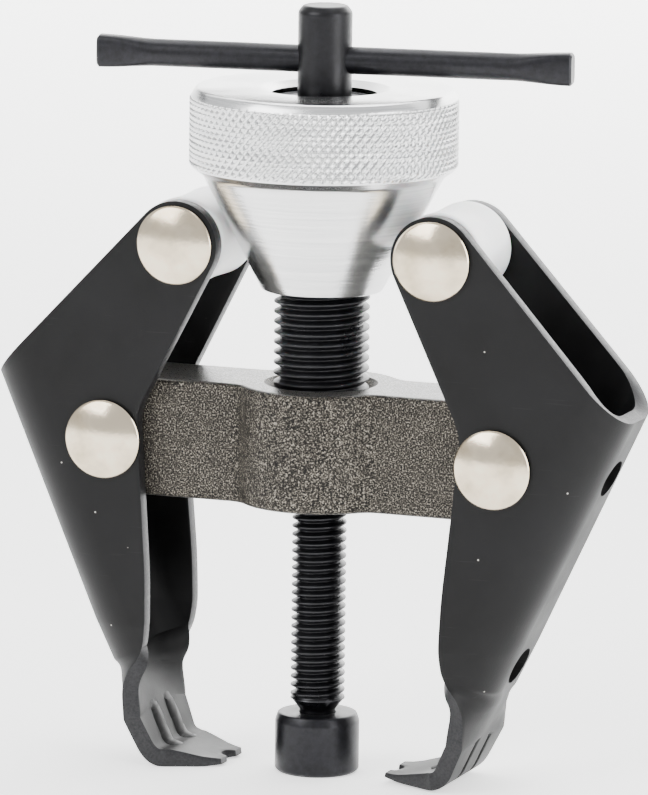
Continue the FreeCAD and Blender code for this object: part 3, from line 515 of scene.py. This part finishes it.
# %% Aluminium
aluminium, tree, shader, at = new_material("turned_aluminium", Metallic=1.0, Anisotropic=0.55)
rings = noise(tree, at, 1.0, 2.0, 0.6, stretch=(0.05, 0.05, 4.0))
patches = noise(tree, at, 6.0)
tree.links.new(ramp(tree, rings, [(0.3, "d4d5d6"), (0.7, "f0f0ef")]), shader.inputs["Base Color"])
tree.links.new(spread(tree, patches, 0.16, 0.27, 0.3, 0.7), shader.inputs["Roughness"])
tangent = add_node(tree, "ShaderNodeTangent", direction_type="RADIAL", axis="Z")
tree.links.new(result(tangent), shader.inputs["Tangent"])
bump(tree, shader, rings, 0.02, 0.7)
paint(nut, aluminium)

# %% [markdown]
# ## The yoke
#
# A forged crossbar with a round boss. In plan its outline is two straight arms
# that run into the boss through hollow blends; each outline point is joined to
# the bore by a profile over the top face, the rounded edge, the side and the
# bottom. Joining outline to bore like this leaves no face to cut a hole in.

# %% Yoke
yoke_mid = (yoke_low[2] + yoke_high[2]) / 2
yoke_h = (yoke_high[2] - yoke_low[2]) / 2
arm, reach, boss, blend_r, corner_r, end_r = 7.2, yoke_high[0], 12.35, 3.5, 0.8, 8.6
hole_r, hole_top, hole_bottom = 7.0, 8.35, 7.5


def quarter_outline():
    """End face, corner, side, hollow blend and boss, with outward normals, from +X to +Y."""
    cx = math.sqrt((boss + blend_r) ** 2 - (arm + blend_r) ** 2)
    meet = math.atan2(arm + blend_r, cx)
    y = np.linspace(0, arm - corner_r, 6)
    c = np.linspace(0, math.pi / 2, 5)
    x = np.linspace(reach - corner_r, cx, 34)[1:]
    f = np.linspace(-math.pi / 2, meet - math.pi, 12)[1:]
    b = np.linspace(meet, math.pi / 2, 18)[1:]
    turned_corner = np.stack([reach - corner_r + corner_r * np.cos(c), arm - corner_r + corner_r * np.sin(c)], 1)
    points = [np.stack([0 * y + reach, y], 1),
              turned_corner[1:],
              np.stack([x, 0 * x + arm], 1),
              np.stack([cx + blend_r * np.cos(f), arm + blend_r + blend_r * np.sin(f)], 1),
              np.stack([boss * np.cos(b), boss * np.sin(b)], 1)]
    normals = [np.stack([0 * y + 1, 0 * y], 1),
               np.stack([np.cos(c), np.sin(c)], 1)[1:],
               np.stack([0 * x, 0 * x + 1], 1),
               np.stack([-np.cos(f), -np.sin(f)], 1),
               np.stack([np.cos(b), np.sin(b)], 1)]
    return np.concatenate(points), np.concatenate(normals)


def whole_outline():
    p, n = quarter_outline()
    flip = np.array([-1, 1])
    half_p, half_n = np.concatenate([p, (p * flip)[::-1][1:]]), np.concatenate([n, (n * flip)[::-1][1:]])
    turn_p, turn_n = half_p[1:-1][::-1] * [1, -1], half_n[1:-1][::-1] * [1, -1]
    return np.concatenate([half_p, turn_p]), np.concatenate([half_n, turn_n])


def half_height(x):
    """Full height along the arms, falling on an arc round each pivot."""
    over = np.clip(np.abs(x) - PIVOT_X, 0, end_r)
    return yoke_h * np.sqrt(np.clip(1 - (over / end_r) ** 2, 0.0004, 1))


out_p, out_n = whole_outline()
ray = out_p / np.linalg.norm(out_p, axis=1, keepdims=True)
edge_round = np.minimum(0.9, half_height(out_p[:, 0]) * 0.8)[:, None]
inset = out_p - out_n * edge_round
top_rows = [ray * hole_top * (1 - share) + inset * share for share in np.linspace(0, 1, 40)]
face_rows = [np.concatenate([p, half_height(p[:, :1])], axis=1) for p in top_rows]
for turn_angle in np.linspace(0, math.pi / 2, 6)[1:]:
    p = out_p - out_n * edge_round * (1 - math.sin(turn_angle))
    z = half_height(out_p[:, :1]) - edge_round * (1 - math.cos(turn_angle))
    face_rows.append(np.concatenate([p, z], axis=1))
lower_rows = [r * [1, 1, -1] for r in face_rows[::-1]]
sink = [np.concatenate([ray * hole_r, np.full((len(ray), 1), z)], axis=1)
        for z in (-yoke_h + 0.5, yoke_h - 1.2)]
lower_rows[-1] = np.concatenate([ray * hole_bottom, np.full((len(ray), 1), -yoke_h)], axis=1)
yoke_grid = np.stack(sink + face_rows + lower_rows) + [0, 0, yoke_mid]
yoke = new_piece("forged_yoke", yoke_grid,
                 grid_faces(*yoke_grid.shape[:2], wrap_rows=True, wrap_columns=True), "yoke",
                 node="yoke", slot="blasted_steel", sharp=40)

# %% [markdown]
# The forging was shot-blasted, which leaves a salt-and-pepper grain of tiny
# craters, and then its top and bottom were machined smooth. One material does
# both: where the surface's own normal points up or down the grain fades.

# %% Blasted steel
blasted, tree, shader, at = new_material("shot_blasted_steel", Metallic=0.75)
grain = noise(tree, at, 0.24, 1.0, 0.6)
coarse = noise(tree, at, 1.3, 2.0, 0.6)
own_normal = add_node(tree, "ShaderNodeTexCoord").outputs["Normal"]
up = add_node(tree, "ShaderNodeSeparateXYZ", {"Vector": own_normal}).outputs["Z"]
machined = spread(tree, math_node(tree, "ABSOLUTE", up, 0.0), 0, 1, 0.75, 0.97)
mottle = math_node(tree, "ADD", math_node(tree, "MULTIPLY", grain, 0.9),
                   math_node(tree, "MULTIPLY", coarse, 0.1))
speckle = ramp(tree, mottle, [(0.36, "0b0a09"), (0.46, "211f1c"), (0.55, "433f39"), (0.68, "8f897e")])
cutter_marks = noise(tree, at, 1.0, 3.0, 0.6, stretch=(0.3, 3.0, 1.0))
smooth = ramp(tree, cutter_marks, [(0.3, "454442"), (0.7, "6b6a67")])
tree.links.new(blend_colours(tree, machined, speckle, smooth), shader.inputs["Base Color"])
rough = math_node(tree, "ADD", spread(tree, grain, 0.38, 0.62, 0.3, 0.7),
                  math_node(tree, "MULTIPLY", machined, -0.16))
tree.links.new(rough, shader.inputs["Roughness"])
cratered = math_node(tree, "SUBTRACT", 1.0, math_node(tree, "MULTIPLY", machined, 0.93))
bump(tree, shader, math_node(tree, "MULTIPLY", grain, cratered), 0.12, 0.8)
paint(yoke, blasted)

# %% [markdown]
# ## The legs
#
# Each leg is one sheet, cut flat and folded into a channel: a web outside and
# two flanges that reach round the yoke and up to the roller. Below, the flanges
# run out and the web bends inwards into a claw. The sheet is 2.2 mm thick in
# the flanges, gathers to 2.6 mm where the claw starts and thins to its tip.
#
# The outer skin is a grid. Each row starts on the web's line in side view and
# ends on the flange's free edge; each column is a share of the way between.
# How far a point lies from the web line decides how far out it stands: on a
# quarter circle while it is inside the bend, then flat on the flange. A
# Solidify modifier gives the sheet its thickness and marks the cut edges.

# %% Leg outline
sole, claw_start, claw_flat, tip_x = -PIVOT_Z, 9.8, 12.2, 17.8
elbow, heel = np.array([-18.7, 7.5]), np.array([6.2, sole])
eye_far, eye_lean, eye_r, row_step = 31.2, math.radians(20.1), 6.4, 0.35
eye = np.array([eye_far * math.sin(eye_lean), eye_far * math.cos(eye_lean)])
waist = np.array([5.1, 4.3])
free_corners = np.array([[6.3, -12.0], [6.9, -20.0], [7.0, -27.6], [6.4, -31.6],
                         [3.0, -36.0], [3.2, -42.0]])


def touch(start, side):
    """Where a line from start touches the eye's circle."""
    to = eye - start
    far = np.hypot(*to)
    lean = math.atan2(to[1], to[0]) + side * math.asin(eye_r / far)
    return start + math.sqrt(far ** 2 - eye_r ** 2) * np.array([math.cos(lean), math.sin(lean)])


def at_distance(points, places, wanted):
    """Points of a polyline at wanted distances along it."""
    return np.stack([np.interp(wanted, places, points[:, k]) for k in (0, 1)], axis=1)


def path_points(corners, radii, spacing):
    """A rounded polyline resampled at an even spacing, and how far along each point is."""
    line = rounded(corners, radii, steps=9, closed=False)
    keep = np.r_[True, np.hypot(*np.diff(line, axis=0).T) > 1e-6]
    line = line[keep]
    far = np.r_[0, np.cumsum(np.hypot(*np.diff(line, axis=0).T))]
    at = np.linspace(0, far[-1], int(far[-1] / spacing) + 1)
    return at_distance(line, far, at), at


outer_eye, inner_eye = touch(elbow, 1), touch(waist, -1)
a0 = math.atan2(*(outer_eye - eye)[::-1])
a1 = math.atan2(*(inner_eye - eye)[::-1])
eye_arc = np.linspace(a0, a1, 26)
eye_points = eye + eye_r * np.stack([np.cos(eye_arc), np.sin(eye_arc)], axis=1)
web_line, web_at = path_points([elbow, heel, (claw_flat, sole)], (0, 5.6, 0), row_step)
web_length = web_at[-1]
free_line, free_at = path_points(np.concatenate([[inner_eye, waist], free_corners]),
                                 (0, 2.2, 3, 3, 5, 5, 5, 0), row_step)
down = (heel - elbow) / np.hypot(*(heel - elbow))
inward = np.array([-down[1], down[0]])


def web_distance(point):
    """How far down the web line the square from a point meets it."""
    return float((np.asarray(point) - elbow) @ down)


# Distance down the web at which each corner of the free edge is met.
knots = np.concatenate([[waist], free_corners])
knots_free = [free_at[np.argmin(np.hypot(*(free_line - k).T))] for k in knots]
knots_web = [web_distance(k) for k in knots]
eye_share = 2.5
eye_webs = np.linspace(0, eye_share, len(eye_points))
free_webs = np.interp(free_at, [0] + knots_free, [eye_share] + knots_web)
claw_webs = np.arange(free_webs[-1] + row_step, web_length, row_step)
station_web = np.concatenate([eye_webs, free_webs[1:], claw_webs])
station_free = np.concatenate([eye_points, free_line[1:]])
print(f"leg: {len(station_web)} rows along {web_length:.1f} mm of web")

# %% [markdown]
# Each row of the leg now knows its start on the web and its end on the free
# edge. Three more curves shape the fold: how round the bend is at that row, how
# wide the sheet is at a height, and where the two stiffening beads are pressed.

# %% Leg surface
SHEET, FLANGE_SHEET, TIP_SHARE = 2.6, 2.2, 0.26
bend_at, bend_radii = [40, 45.5, 48, 50, 54], [7.4, 7.4, 12.0, 22.0, 60.0]
web_columns, bend_columns, flange_columns = 26, 12, 14


def sheet_half(x, z):
    """Half width of the skin: flared flanges above, drawn in below, a tapering claw."""
    width = np.interp(z, [sole, -47.4, -44.0, -41.5, -33.0, -27.5, 40.0],
                      [7.9, 8.0, 8.8, 9.3, 10.15, 10.72, 10.0 - 40 * math.tan(math.radians(1.5))])
    on_claw = np.clip((x - 8.0) / (tip_x - 8.0), 0, 1) * (z < sole + 3)
    return width * (1 - on_claw) + 3.7 * on_claw


def leg_skin():
    """Grid of outer skin points in the leg's own frame: x inwards, y across, z up.

    A row's bend is an arc of radius R that swings through the angle whose
    versine is depth / R, at most a right angle; past it the flange is flat. R
    grows towards the claw, where the depth falls to nothing, so the channel
    opens out into a flat strip of the same width.
    """
    start = at_distance(web_line, web_at, station_web)
    ahead, behind = (at_distance(web_line, web_at, station_web + step) for step in (0.05, -0.05))
    ahead = ahead - behind
    ahead /= np.hypot(*ahead.T)[:, None]
    square = np.stack([-ahead[:, 1], ahead[:, 0]], axis=1)
    extra = len(station_web) - len(station_free)
    end = np.concatenate([station_free, start[-extra:] + square[-extra:] * 0.02])
    depth = np.maximum(((end - start) * square).sum(1), 0.02)
    edge_half = sheet_half(end[:, 0], end[:, 1])
    widest = (depth ** 2 + edge_half ** 2) / (2 * depth)
    bend_round = np.interp(station_web, bend_at, bend_radii)
    bend_round = np.where(depth < bend_round, np.minimum(bend_round, widest), bend_round)
    swing = np.arccos(np.clip(1 - depth / bend_round, 0.0, 1.0))
    sweep = np.linspace(0, 1, bend_columns + 1)[None, 1:] * swing[:, None]
    rest = np.linspace(0, 1, flange_columns + 1)[None, 1:]
    flat = np.maximum(depth - bend_round, 0.0)[:, None]
    offset = np.concatenate([bend_round[:, None] * (1 - np.cos(sweep)),
                             np.minimum(bend_round, depth)[:, None] + rest * flat], axis=1)
    side_xz = start[:, None] + (offset / depth[:, None])[..., None] * (end - start)[:, None]
    half = sheet_half(side_xz[..., 0], side_xz[..., 1])
    drawn = np.minimum(bend_round * np.sin(swing), edge_half)
    out = np.concatenate([bend_round[:, None] * np.sin(sweep),
                          np.repeat(drawn[:, None], flange_columns, axis=1)], axis=1)
    across = half - drawn[:, None] + out
    root = np.maximum(sheet_half(start[:, 0], start[:, 1]) - drawn, 0.0)[:, None]
    y = np.linspace(-1, 1, 2 * web_columns + 1)[None] * root
    web_x, web_z = (np.broadcast_to(start[:, k:k + 1], y.shape) for k in (0, 1))
    web = np.stack([web_x, y, web_z], axis=-1)
    far = np.stack([side_xz[..., 0], across, side_xz[..., 1]], axis=-1)
    near = far[:, ::-1] * [1, -1, 1]
    return np.concatenate([near, web, far], axis=1), square


def shape_claw(grid, square):
    """Cut the round notch in the tip, lift the tip and press the two beads inwards."""
    grid = grid.copy()
    y = grid[..., 1]
    notch_r, notch_out, tip_lift = 3.1, 1.5, 0.5
    bead_middle, bead_half, bead_place, bead_width, bead_depth = 58.8, 5.3, 2.8, 0.5, 0.5
    tip = np.minimum(tip_x, tip_x + notch_out - np.sqrt(np.clip(notch_r ** 2 - y ** 2, 0, None)))
    claw = (grid[..., 2] < sole + 0.5) & (grid[..., 0] > claw_start)
    stretch = np.clip((grid[..., 0] - claw_start) / (claw_flat - claw_start), 0, 1)
    run = claw_start + stretch * (tip - claw_start)
    taper = (sheet_half(run, sole) / sheet_half(grid[..., 0], sole))
    grid[..., 1] = np.where(claw, y * taper, y)
    grid[..., 0] = np.where(claw, run, grid[..., 0])
    grid[..., 2] += np.where(claw, tip_lift * np.clip((grid[..., 0] - 14.2) / 3.6, 0, 1), 0)
    along = np.broadcast_to(station_web[:, None], y.shape)
    window = np.clip(1 - np.abs((along - bead_middle) / bead_half) ** 8, 0, 1)
    for place in (-bead_place, bead_place):
        press = bead_depth * window * np.exp(-((y - place) / bead_width) ** 4)
        grid[..., 0] += press * square[:, None, 0]
        grid[..., 2] += press * square[:, None, 1]
    return grid


def place_leg(grid, side, slack_deg):
    """From the leg's frame to the tool's: tilt by the slack, then face left or right."""
    c, s = math.cos(math.radians(slack_deg)), math.sin(math.radians(slack_deg))
    x = grid[..., 0] * c - grid[..., 2] * s
    z = grid[..., 0] * s + grid[..., 2] * c
    return np.stack([side * (PIVOT_X - x), grid[..., 1], PIVOT_Z + z], axis=-1)


skin, skin_square = leg_skin()
skin = shape_claw(skin, skin_square)
print("leg skin grid:", skin.shape)

# %% [markdown]
# The bath that blackened the legs leaves a satin charcoal skin. Handling adds
# hairline scratches and dust, drawn here as very stretched noise and as sparse
# tiny cells. Where the sheet was sheared, its cut edge is rougher and greyer,
# so the rim made by Solidify gets a finish of its own.

# %% Leg finishes
leg_black, tree, shader, at = new_material("blackened_sheet_steel", **{"Specular IOR Level": 0.17})
skin_grain = noise(tree, at, 0.35, 4.0, 0.6)
clouds = noise(tree, at, 11.0, 4.0, 0.55)
base = ramp(tree, clouds, [(0.28, "070707"), (0.72, "111112")])
hair = noise(tree, at, 3.0, 2.0, 0.5, stretch=(0.35, 1.0, 9.0))
hair_line = spread(tree, hair, 0.0, 0.35, 0.70, 0.74)
cells = add_node(tree, "ShaderNodeTexVoronoi", {"Vector": at, "Scale": per_mm(2.6)})
dust = spread(tree, cells.outputs["Distance"], 1.0, 0.0, 0.035, 0.06)
lot = add_node(tree, "ShaderNodeSeparateXYZ", {"Vector": cells.outputs["Color"]}).outputs["X"]
pick = spread(tree, lot, 0, 1, 0.80, 0.82)
dusty = math_node(tree, "MULTIPLY", dust, pick)
marked = blend_colours(tree, hair_line, base, "232324")
tree.links.new(blend_colours(tree, dusty, marked, "b9b6ae"), shader.inputs["Base Color"])
tree.links.new(spread(tree, clouds, 0.36, 0.52, 0.3, 0.7), shader.inputs["Roughness"])
bump(tree, shader, skin_grain, 0.02, 0.6)

cut_edge, tree, shader, at = new_material("sheared_sheet_edge", Metallic=0.6)
drag = noise(tree, at, 0.35, 3.0, 0.6)
tree.links.new(ramp(tree, drag, [(0.3, "1a1a1b"), (0.7, "2e2e30")]), shader.inputs["Base Color"])
tree.links.new(spread(tree, drag, 0.34, 0.55, 0.3, 0.7), shader.inputs["Roughness"])
bump(tree, shader, drag, 0.05, 0.6)
print(leg_black.name, cut_edge.name)

# %% [markdown]
# The sheet is finished with three modifiers that are then baked in: Solidify
# for the thickness (thinner towards the hammered claw tip, by a vertex group),
# a small Bevel on the rim, and a Boolean for the two holes through the web.

# %% Legs
HOLE_R, HOLE_PLACES, CUT_FROM, CUT_TO = 2.9, (9.8, 41.6), -4.0, 6.0


def hole_cutters(side, slack_deg):
    """Two cylinders square to the web, as closed grids."""
    cutters = []
    ring = np.linspace(0, 2 * math.pi, 48, endpoint=False)
    for index, far in enumerate(HOLE_PLACES):
        centre = elbow + down * far
        rows = []
        for radius, depth in ((0.0, CUT_FROM), (HOLE_R, CUT_FROM), (HOLE_R, CUT_TO), (0.0, CUT_TO)):
            xz = centre + inward * depth + down * (radius * np.cos(ring))[:, None]
            rows.append(np.stack([xz[:, 0], radius * np.sin(ring), xz[:, 1]], axis=1))
        points = place_leg(np.stack(rows), side, slack_deg)
        cutter = mesh_object(f"cutter_{index}", points, grid_faces(*points.shape[:2], wrap_columns=True))
        tidy_mesh(cutter.data, 30)
        cutters.append(cutter)
    return cutters


def make_leg(name, side, slack_deg):
    """One leg: the skin placed, given its thickness, edges and holes, and baked."""
    grid = place_leg(skin, side, slack_deg)
    faces = grid_faces(*grid.shape[:2])
    if side < 0:
        faces = faces[:, ::-1]
    leg = mesh_object(name, grid, faces)
    mesh = leg.data
    edit = bmesh.new()
    edit.from_mesh(mesh)
    bmesh.ops.remove_doubles(edit, verts=edit.verts, dist=0.01 * MM)
    bmesh.ops.dissolve_degenerate(edit, edges=edit.edges, dist=0.01 * MM)
    for face in edit.faces:
        face.smooth = True
    edit.to_mesh(mesh)
    edit.free()
    leg.data.materials.append(leg_black)
    leg.data.materials.append(cut_edge)
    thin = leg.vertex_groups.new(name="hammered_tip")
    place = np.array([v.co for v in mesh.vertices]) / MM
    inwards = PIVOT_X - side * place[:, 0]
    in_claw = place[:, 2] < 4.0
    weight = np.interp(place[:, 2], [8.0, 16.0], [1.0, FLANGE_SHEET / SHEET])
    weight = np.where(in_claw, np.interp(inwards, [10.0, 17.6], [1.0, TIP_SHARE]), weight)
    for index, value in enumerate(weight):
        thin.add([index], float(value), "REPLACE")
    wall = leg.modifiers.new("sheet", "SOLIDIFY")
    wall.thickness, wall.offset = SHEET * MM, -1.0
    wall.vertex_group = "hammered_tip"
    wall.material_offset_rim = 1
    soft = leg.modifiers.new("broken_edges", "BEVEL")
    soft.width, soft.segments = 0.28 * MM, 2
    soft.limit_method, soft.angle_limit = "ANGLE", math.radians(50)
    soft.harden_normals = False
    cutters = hole_cutters(side, slack_deg)
    for cutter in cutters:
        cut = leg.modifiers.new("web_hole", "BOOLEAN")
        cut.operation, cut.object, cut.solver = "DIFFERENCE", cutter, "EXACT"
    bpy.context.view_layer.update()
    baked = bpy.data.meshes.new_from_object(leg.evaluated_get(bpy.context.evaluated_depsgraph_get()))
    leg.modifiers.clear()
    leg.data = baked
    for cutter in cutters:
        bpy.data.objects.remove(cutter)
    edit = bmesh.new()
    edit.from_mesh(baked)
    mark_edges(edit, 38)
    edit.to_mesh(baked)
    edit.free()
    side_name = "left" if side < 0 else "right"
    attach(leg, f"{side_name}_leg")
    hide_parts(f"{side_name}_leg")
    print(f"{name}: {len(baked.polygons)} faces")


make_leg("left_channel_leg", -1, 0.0)
make_leg("right_channel_leg", 1, 1.5)

# %% [markdown]
# ## Rivets, rollers and bushes
#
# Nickel-plated rivets hold each leg to the yoke and carry its roller. Their
# heads are shallow domes with a short upright rim. The rollers are white nylon,
# turned with a slight waist where the cone runs. Nylon lets some light in, so
# it gets a little subsurface scattering. The bushes between rivet and roller
# are hardly seen: they keep their CAD shape, as does the wire ring in the foot.

# %% Rivets and rollers
nickel, tree, shader, at = new_material("nickel_plated_steel", Metallic=1.0)
smudge = noise(tree, at, 5.0, 3.0, 0.55)
speck = noise(tree, at, 0.5, 2.0, 0.5)
tree.links.new(ramp(tree, smudge, [(0.3, "b9aa90"), (0.6, "d8cab2")]), shader.inputs["Base Color"])
tree.links.new(spread(tree, smudge, 0.24, 0.15, 0.3, 0.7), shader.inputs["Roughness"])
bump(tree, shader, speck, 0.015, 0.6)

nylon, tree, shader, at = new_material("white_nylon", IOR=1.53, Subsurface_Weight=0.25,
                                       Subsurface_Scale=0.002)
tint = noise(tree, at, 7.0)
tree.links.new(ramp(tree, tint, [(0.3, "e3e3e4"), (0.7, "f2f2f1")]), shader.inputs["Base Color"])
tree.links.new(spread(tree, tint, 0.30, 0.42, 0.3, 0.7), shader.inputs["Roughness"])
lathe_lines = noise(tree, at, 1.0, 2.0, 0.5, stretch=(0.2, 3.0, 0.2))
bump(tree, shader, lathe_lines, 0.02, 0.5)


def rivet_profile(seat, head_radius, shank, crown):
    """Half outline from pole to pole: dome, rim, seat, shank, and the same again."""
    rim = seat + 0.45
    ball = (head_radius ** 2 + (crown - rim) ** 2) / (2 * (crown - rim))
    swing = np.linspace(0, math.asin(min(1.0, head_radius / ball)), 20)
    dome = np.stack([ball * np.sin(swing), crown - ball + ball * np.cos(swing)], axis=1)
    dome[-1, 0] -= 0.12
    side_wall = [[head_radius, rim - 0.14], [head_radius, seat + 0.1],
                 [head_radius - 0.1, seat], [shank, seat]]
    top_half = np.concatenate([dome, side_wall])
    return np.concatenate([top_half, top_half[::-1] * [1, -1]])


head_height, head_r = 1.7, 5.8
for side_name in ("left", "right"):
    for role, shank, slot_name in (("pivot", 4.0, "nickel_plate"), ("roller", 3.0, "nickel_plate")):
        node = f"{side_name}_{role}_rivet"
        crown = node_box(node)[1][1]
        profile = rivet_profile(crown - head_height, head_r, shank, crown)
        rivet = turned_piece(f"{side_name}_{role}_rivet_domed", profile, 72, f"{side_name}_leg", False,
                             centre=middle(node), axis="Y", node=node, slot=slot_name)
        paint(rivet, nickel)
    node = f"{side_name}_roller"
    low, high = node_box(node)
    half, roller_r = (high[1] - low[1]) / 2, (high[2] - low[2]) / 2
    y = np.linspace(-half + 0.45, half - 0.45, 22)
    barrel = np.stack([roller_r - 0.2 * (1 - (y / half) ** 2) ** 2, y], axis=1)
    rear_end = [[4.05, -half], [roller_r - 0.5, -half], [roller_r - 0.14, -half + 0.14]]
    front_end = [[roller_r - 0.14, half - 0.14], [roller_r - 0.5, half], [4.05, half]]
    barrel = np.concatenate([rear_end, barrel, front_end])
    roller = turned_piece(f"{side_name}_nylon_roller", barrel, 96, f"{side_name}_roller", True,
                          centre=middle(node), axis="Y", node=node, slot="white_nylon")
    paint(roller, nylon)

bright, tree, shader, at = new_material("drawn_steel", Metallic=1.0)
drawn = noise(tree, at, 0.8, 3.0, 0.5, stretch=(1.0, 0.3, 1.0))
tree.links.new(ramp(tree, drawn, [(0.3, "8d8f92"), (0.7, "b5b7ba")]), shader.inputs["Base Color"])
tree.links.new(spread(tree, drawn, 0.24, 0.36, 0.3, 0.7), shader.inputs["Roughness"])
bump(tree, shader, drawn, 0.02, 0.5)
for name in ("foot_snap_ring", "left_roller_bush", "right_roller_bush"):
    paint(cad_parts[name], bright)

# %% [markdown]
# ## Floor, light and camera
#
# A pale sweep of paper under and behind the tool, and soft boxes to the left,
# right, above and behind, as on a product table. Bright metal only looks bright
# where it has something bright to reflect, so the sweep is large and well lit,
# and the paper glows a little of itself, so it stays near white in every view.

# %% Floor
sweep_line = ((-3, 0), (0.9, 0), (1.15, 0.03), (1.35, 0.12), (1.5, 0.3), (1.55, 0.6), (1.55, 2.6))
floor_points = np.array([[x, y, z] for y, z in sweep_line for x in (-3, 3)], float)
sweep_mesh = bpy.data.meshes.new("paper_sweep")
sweep_mesh.from_pydata(floor_points.tolist(), [], grid_faces(len(sweep_line), 2).tolist())
sweep = bpy.data.objects.new("paper_sweep", sweep_mesh)
bpy.context.scene.collection.objects.link(sweep)
for face in sweep_mesh.polygons:
    face.use_smooth = True
paper, tree, shader, at = new_material("white_paper", Roughness=0.9, **{"Emission Strength": 1.1})
shader.inputs["Emission Color"].default_value = (1, 1, 1, 1)
paper_tint = ramp(tree, noise(tree, at, 400.0), [(0.3, "f4f4f3"), (0.7, "f7f7f6")])
tree.links.new(paper_tint, shader.inputs["Base Color"])
paint(sweep, paper)

# %% Light
# The room is pale all round, with one dark patch for bright metal to mirror.
world = bpy.data.worlds.new("studio")
bpy.context.scene.world = world
world.use_nodes = True
sky = world.node_tree
direction = add_node(sky, "ShaderNodeTexCoord").outputs["Generated"]
patch = {"Vector": direction, "Location": (0.66, 0.66, -0.24), "Scale": (1, 1, 0.45)}
toward = add_node(sky, "ShaderNodeMapping", patch)
distance = add_node(sky, "ShaderNodeVectorMath", {"Vector": result(toward)}, operation="LENGTH")
room = ramp(sky, distance.outputs["Value"], [(0.06, "202226"), (0.15, "f4f5f7")])
sky.links.new(room, sky.nodes["Background"].inputs["Color"])
sky.nodes["Background"].inputs["Strength"].default_value = 1.15


def soft_box(name, place, aim, size, power):
    """A rectangular area light at a place, facing what it is aimed at, in metres and watts."""
    light = bpy.data.lights.new(name, "AREA")
    light.shape, light.size, light.size_y, light.energy = "RECTANGLE", size[0], size[1], power
    lamp = bpy.data.objects.new(name, light)
    bpy.context.scene.collection.objects.link(lamp)
    lamp.location = place
    lamp.rotation_mode = "QUATERNION"
    lamp.rotation_quaternion = (Vector(aim) - Vector(place)).to_track_quat("-Z", "Y")


soft_box("key_box", (-0.55, -0.75, 0.75), (0, 0, 0.06), (0.7, 0.7), 11)
soft_box("fill_box", (0.95, -0.25, 0.35), (0, 0, 0.05), (0.5, 0.8), 9)
soft_box("top_box", (0.0, 0.25, 1.0), (0, 0, 0.05), (0.9, 0.6), 10)
soft_box("back_box", (0.1, 1.0, 0.9), (0, 1.5, 0.5), (1.6, 0.8), 50)

# %% Camera
turned_by, raised_by, rolled_by = (math.radians(degrees) for degrees in (20.61, 10.11, 0.67))
away, aim_height, picture_height = 1.1805, 0.057, 795
back = Vector((math.sin(turned_by) * math.cos(raised_by),
               -math.cos(turned_by) * math.cos(raised_by), math.sin(raised_by)))
camera_data = bpy.data.cameras.new("camera")
camera = bpy.data.objects.new("camera", camera_data)
bpy.context.scene.collection.objects.link(camera)
camera.location = Vector((0, 0, aim_height)) + back * away
camera.rotation_mode = "QUATERNION"
camera.rotation_quaternion = (-back).to_track_quat("-Z", "Y") @ Quaternion((0, 0, 1), rolled_by)
camera_data.lens = 366.2
camera_data.sensor_width = 36
camera_data.shift_x, camera_data.shift_y = 2.9 / picture_height, -9.31 / picture_height
camera_data.clip_start, camera_data.clip_end = 0.05, 20
bpy.context.scene.camera = camera
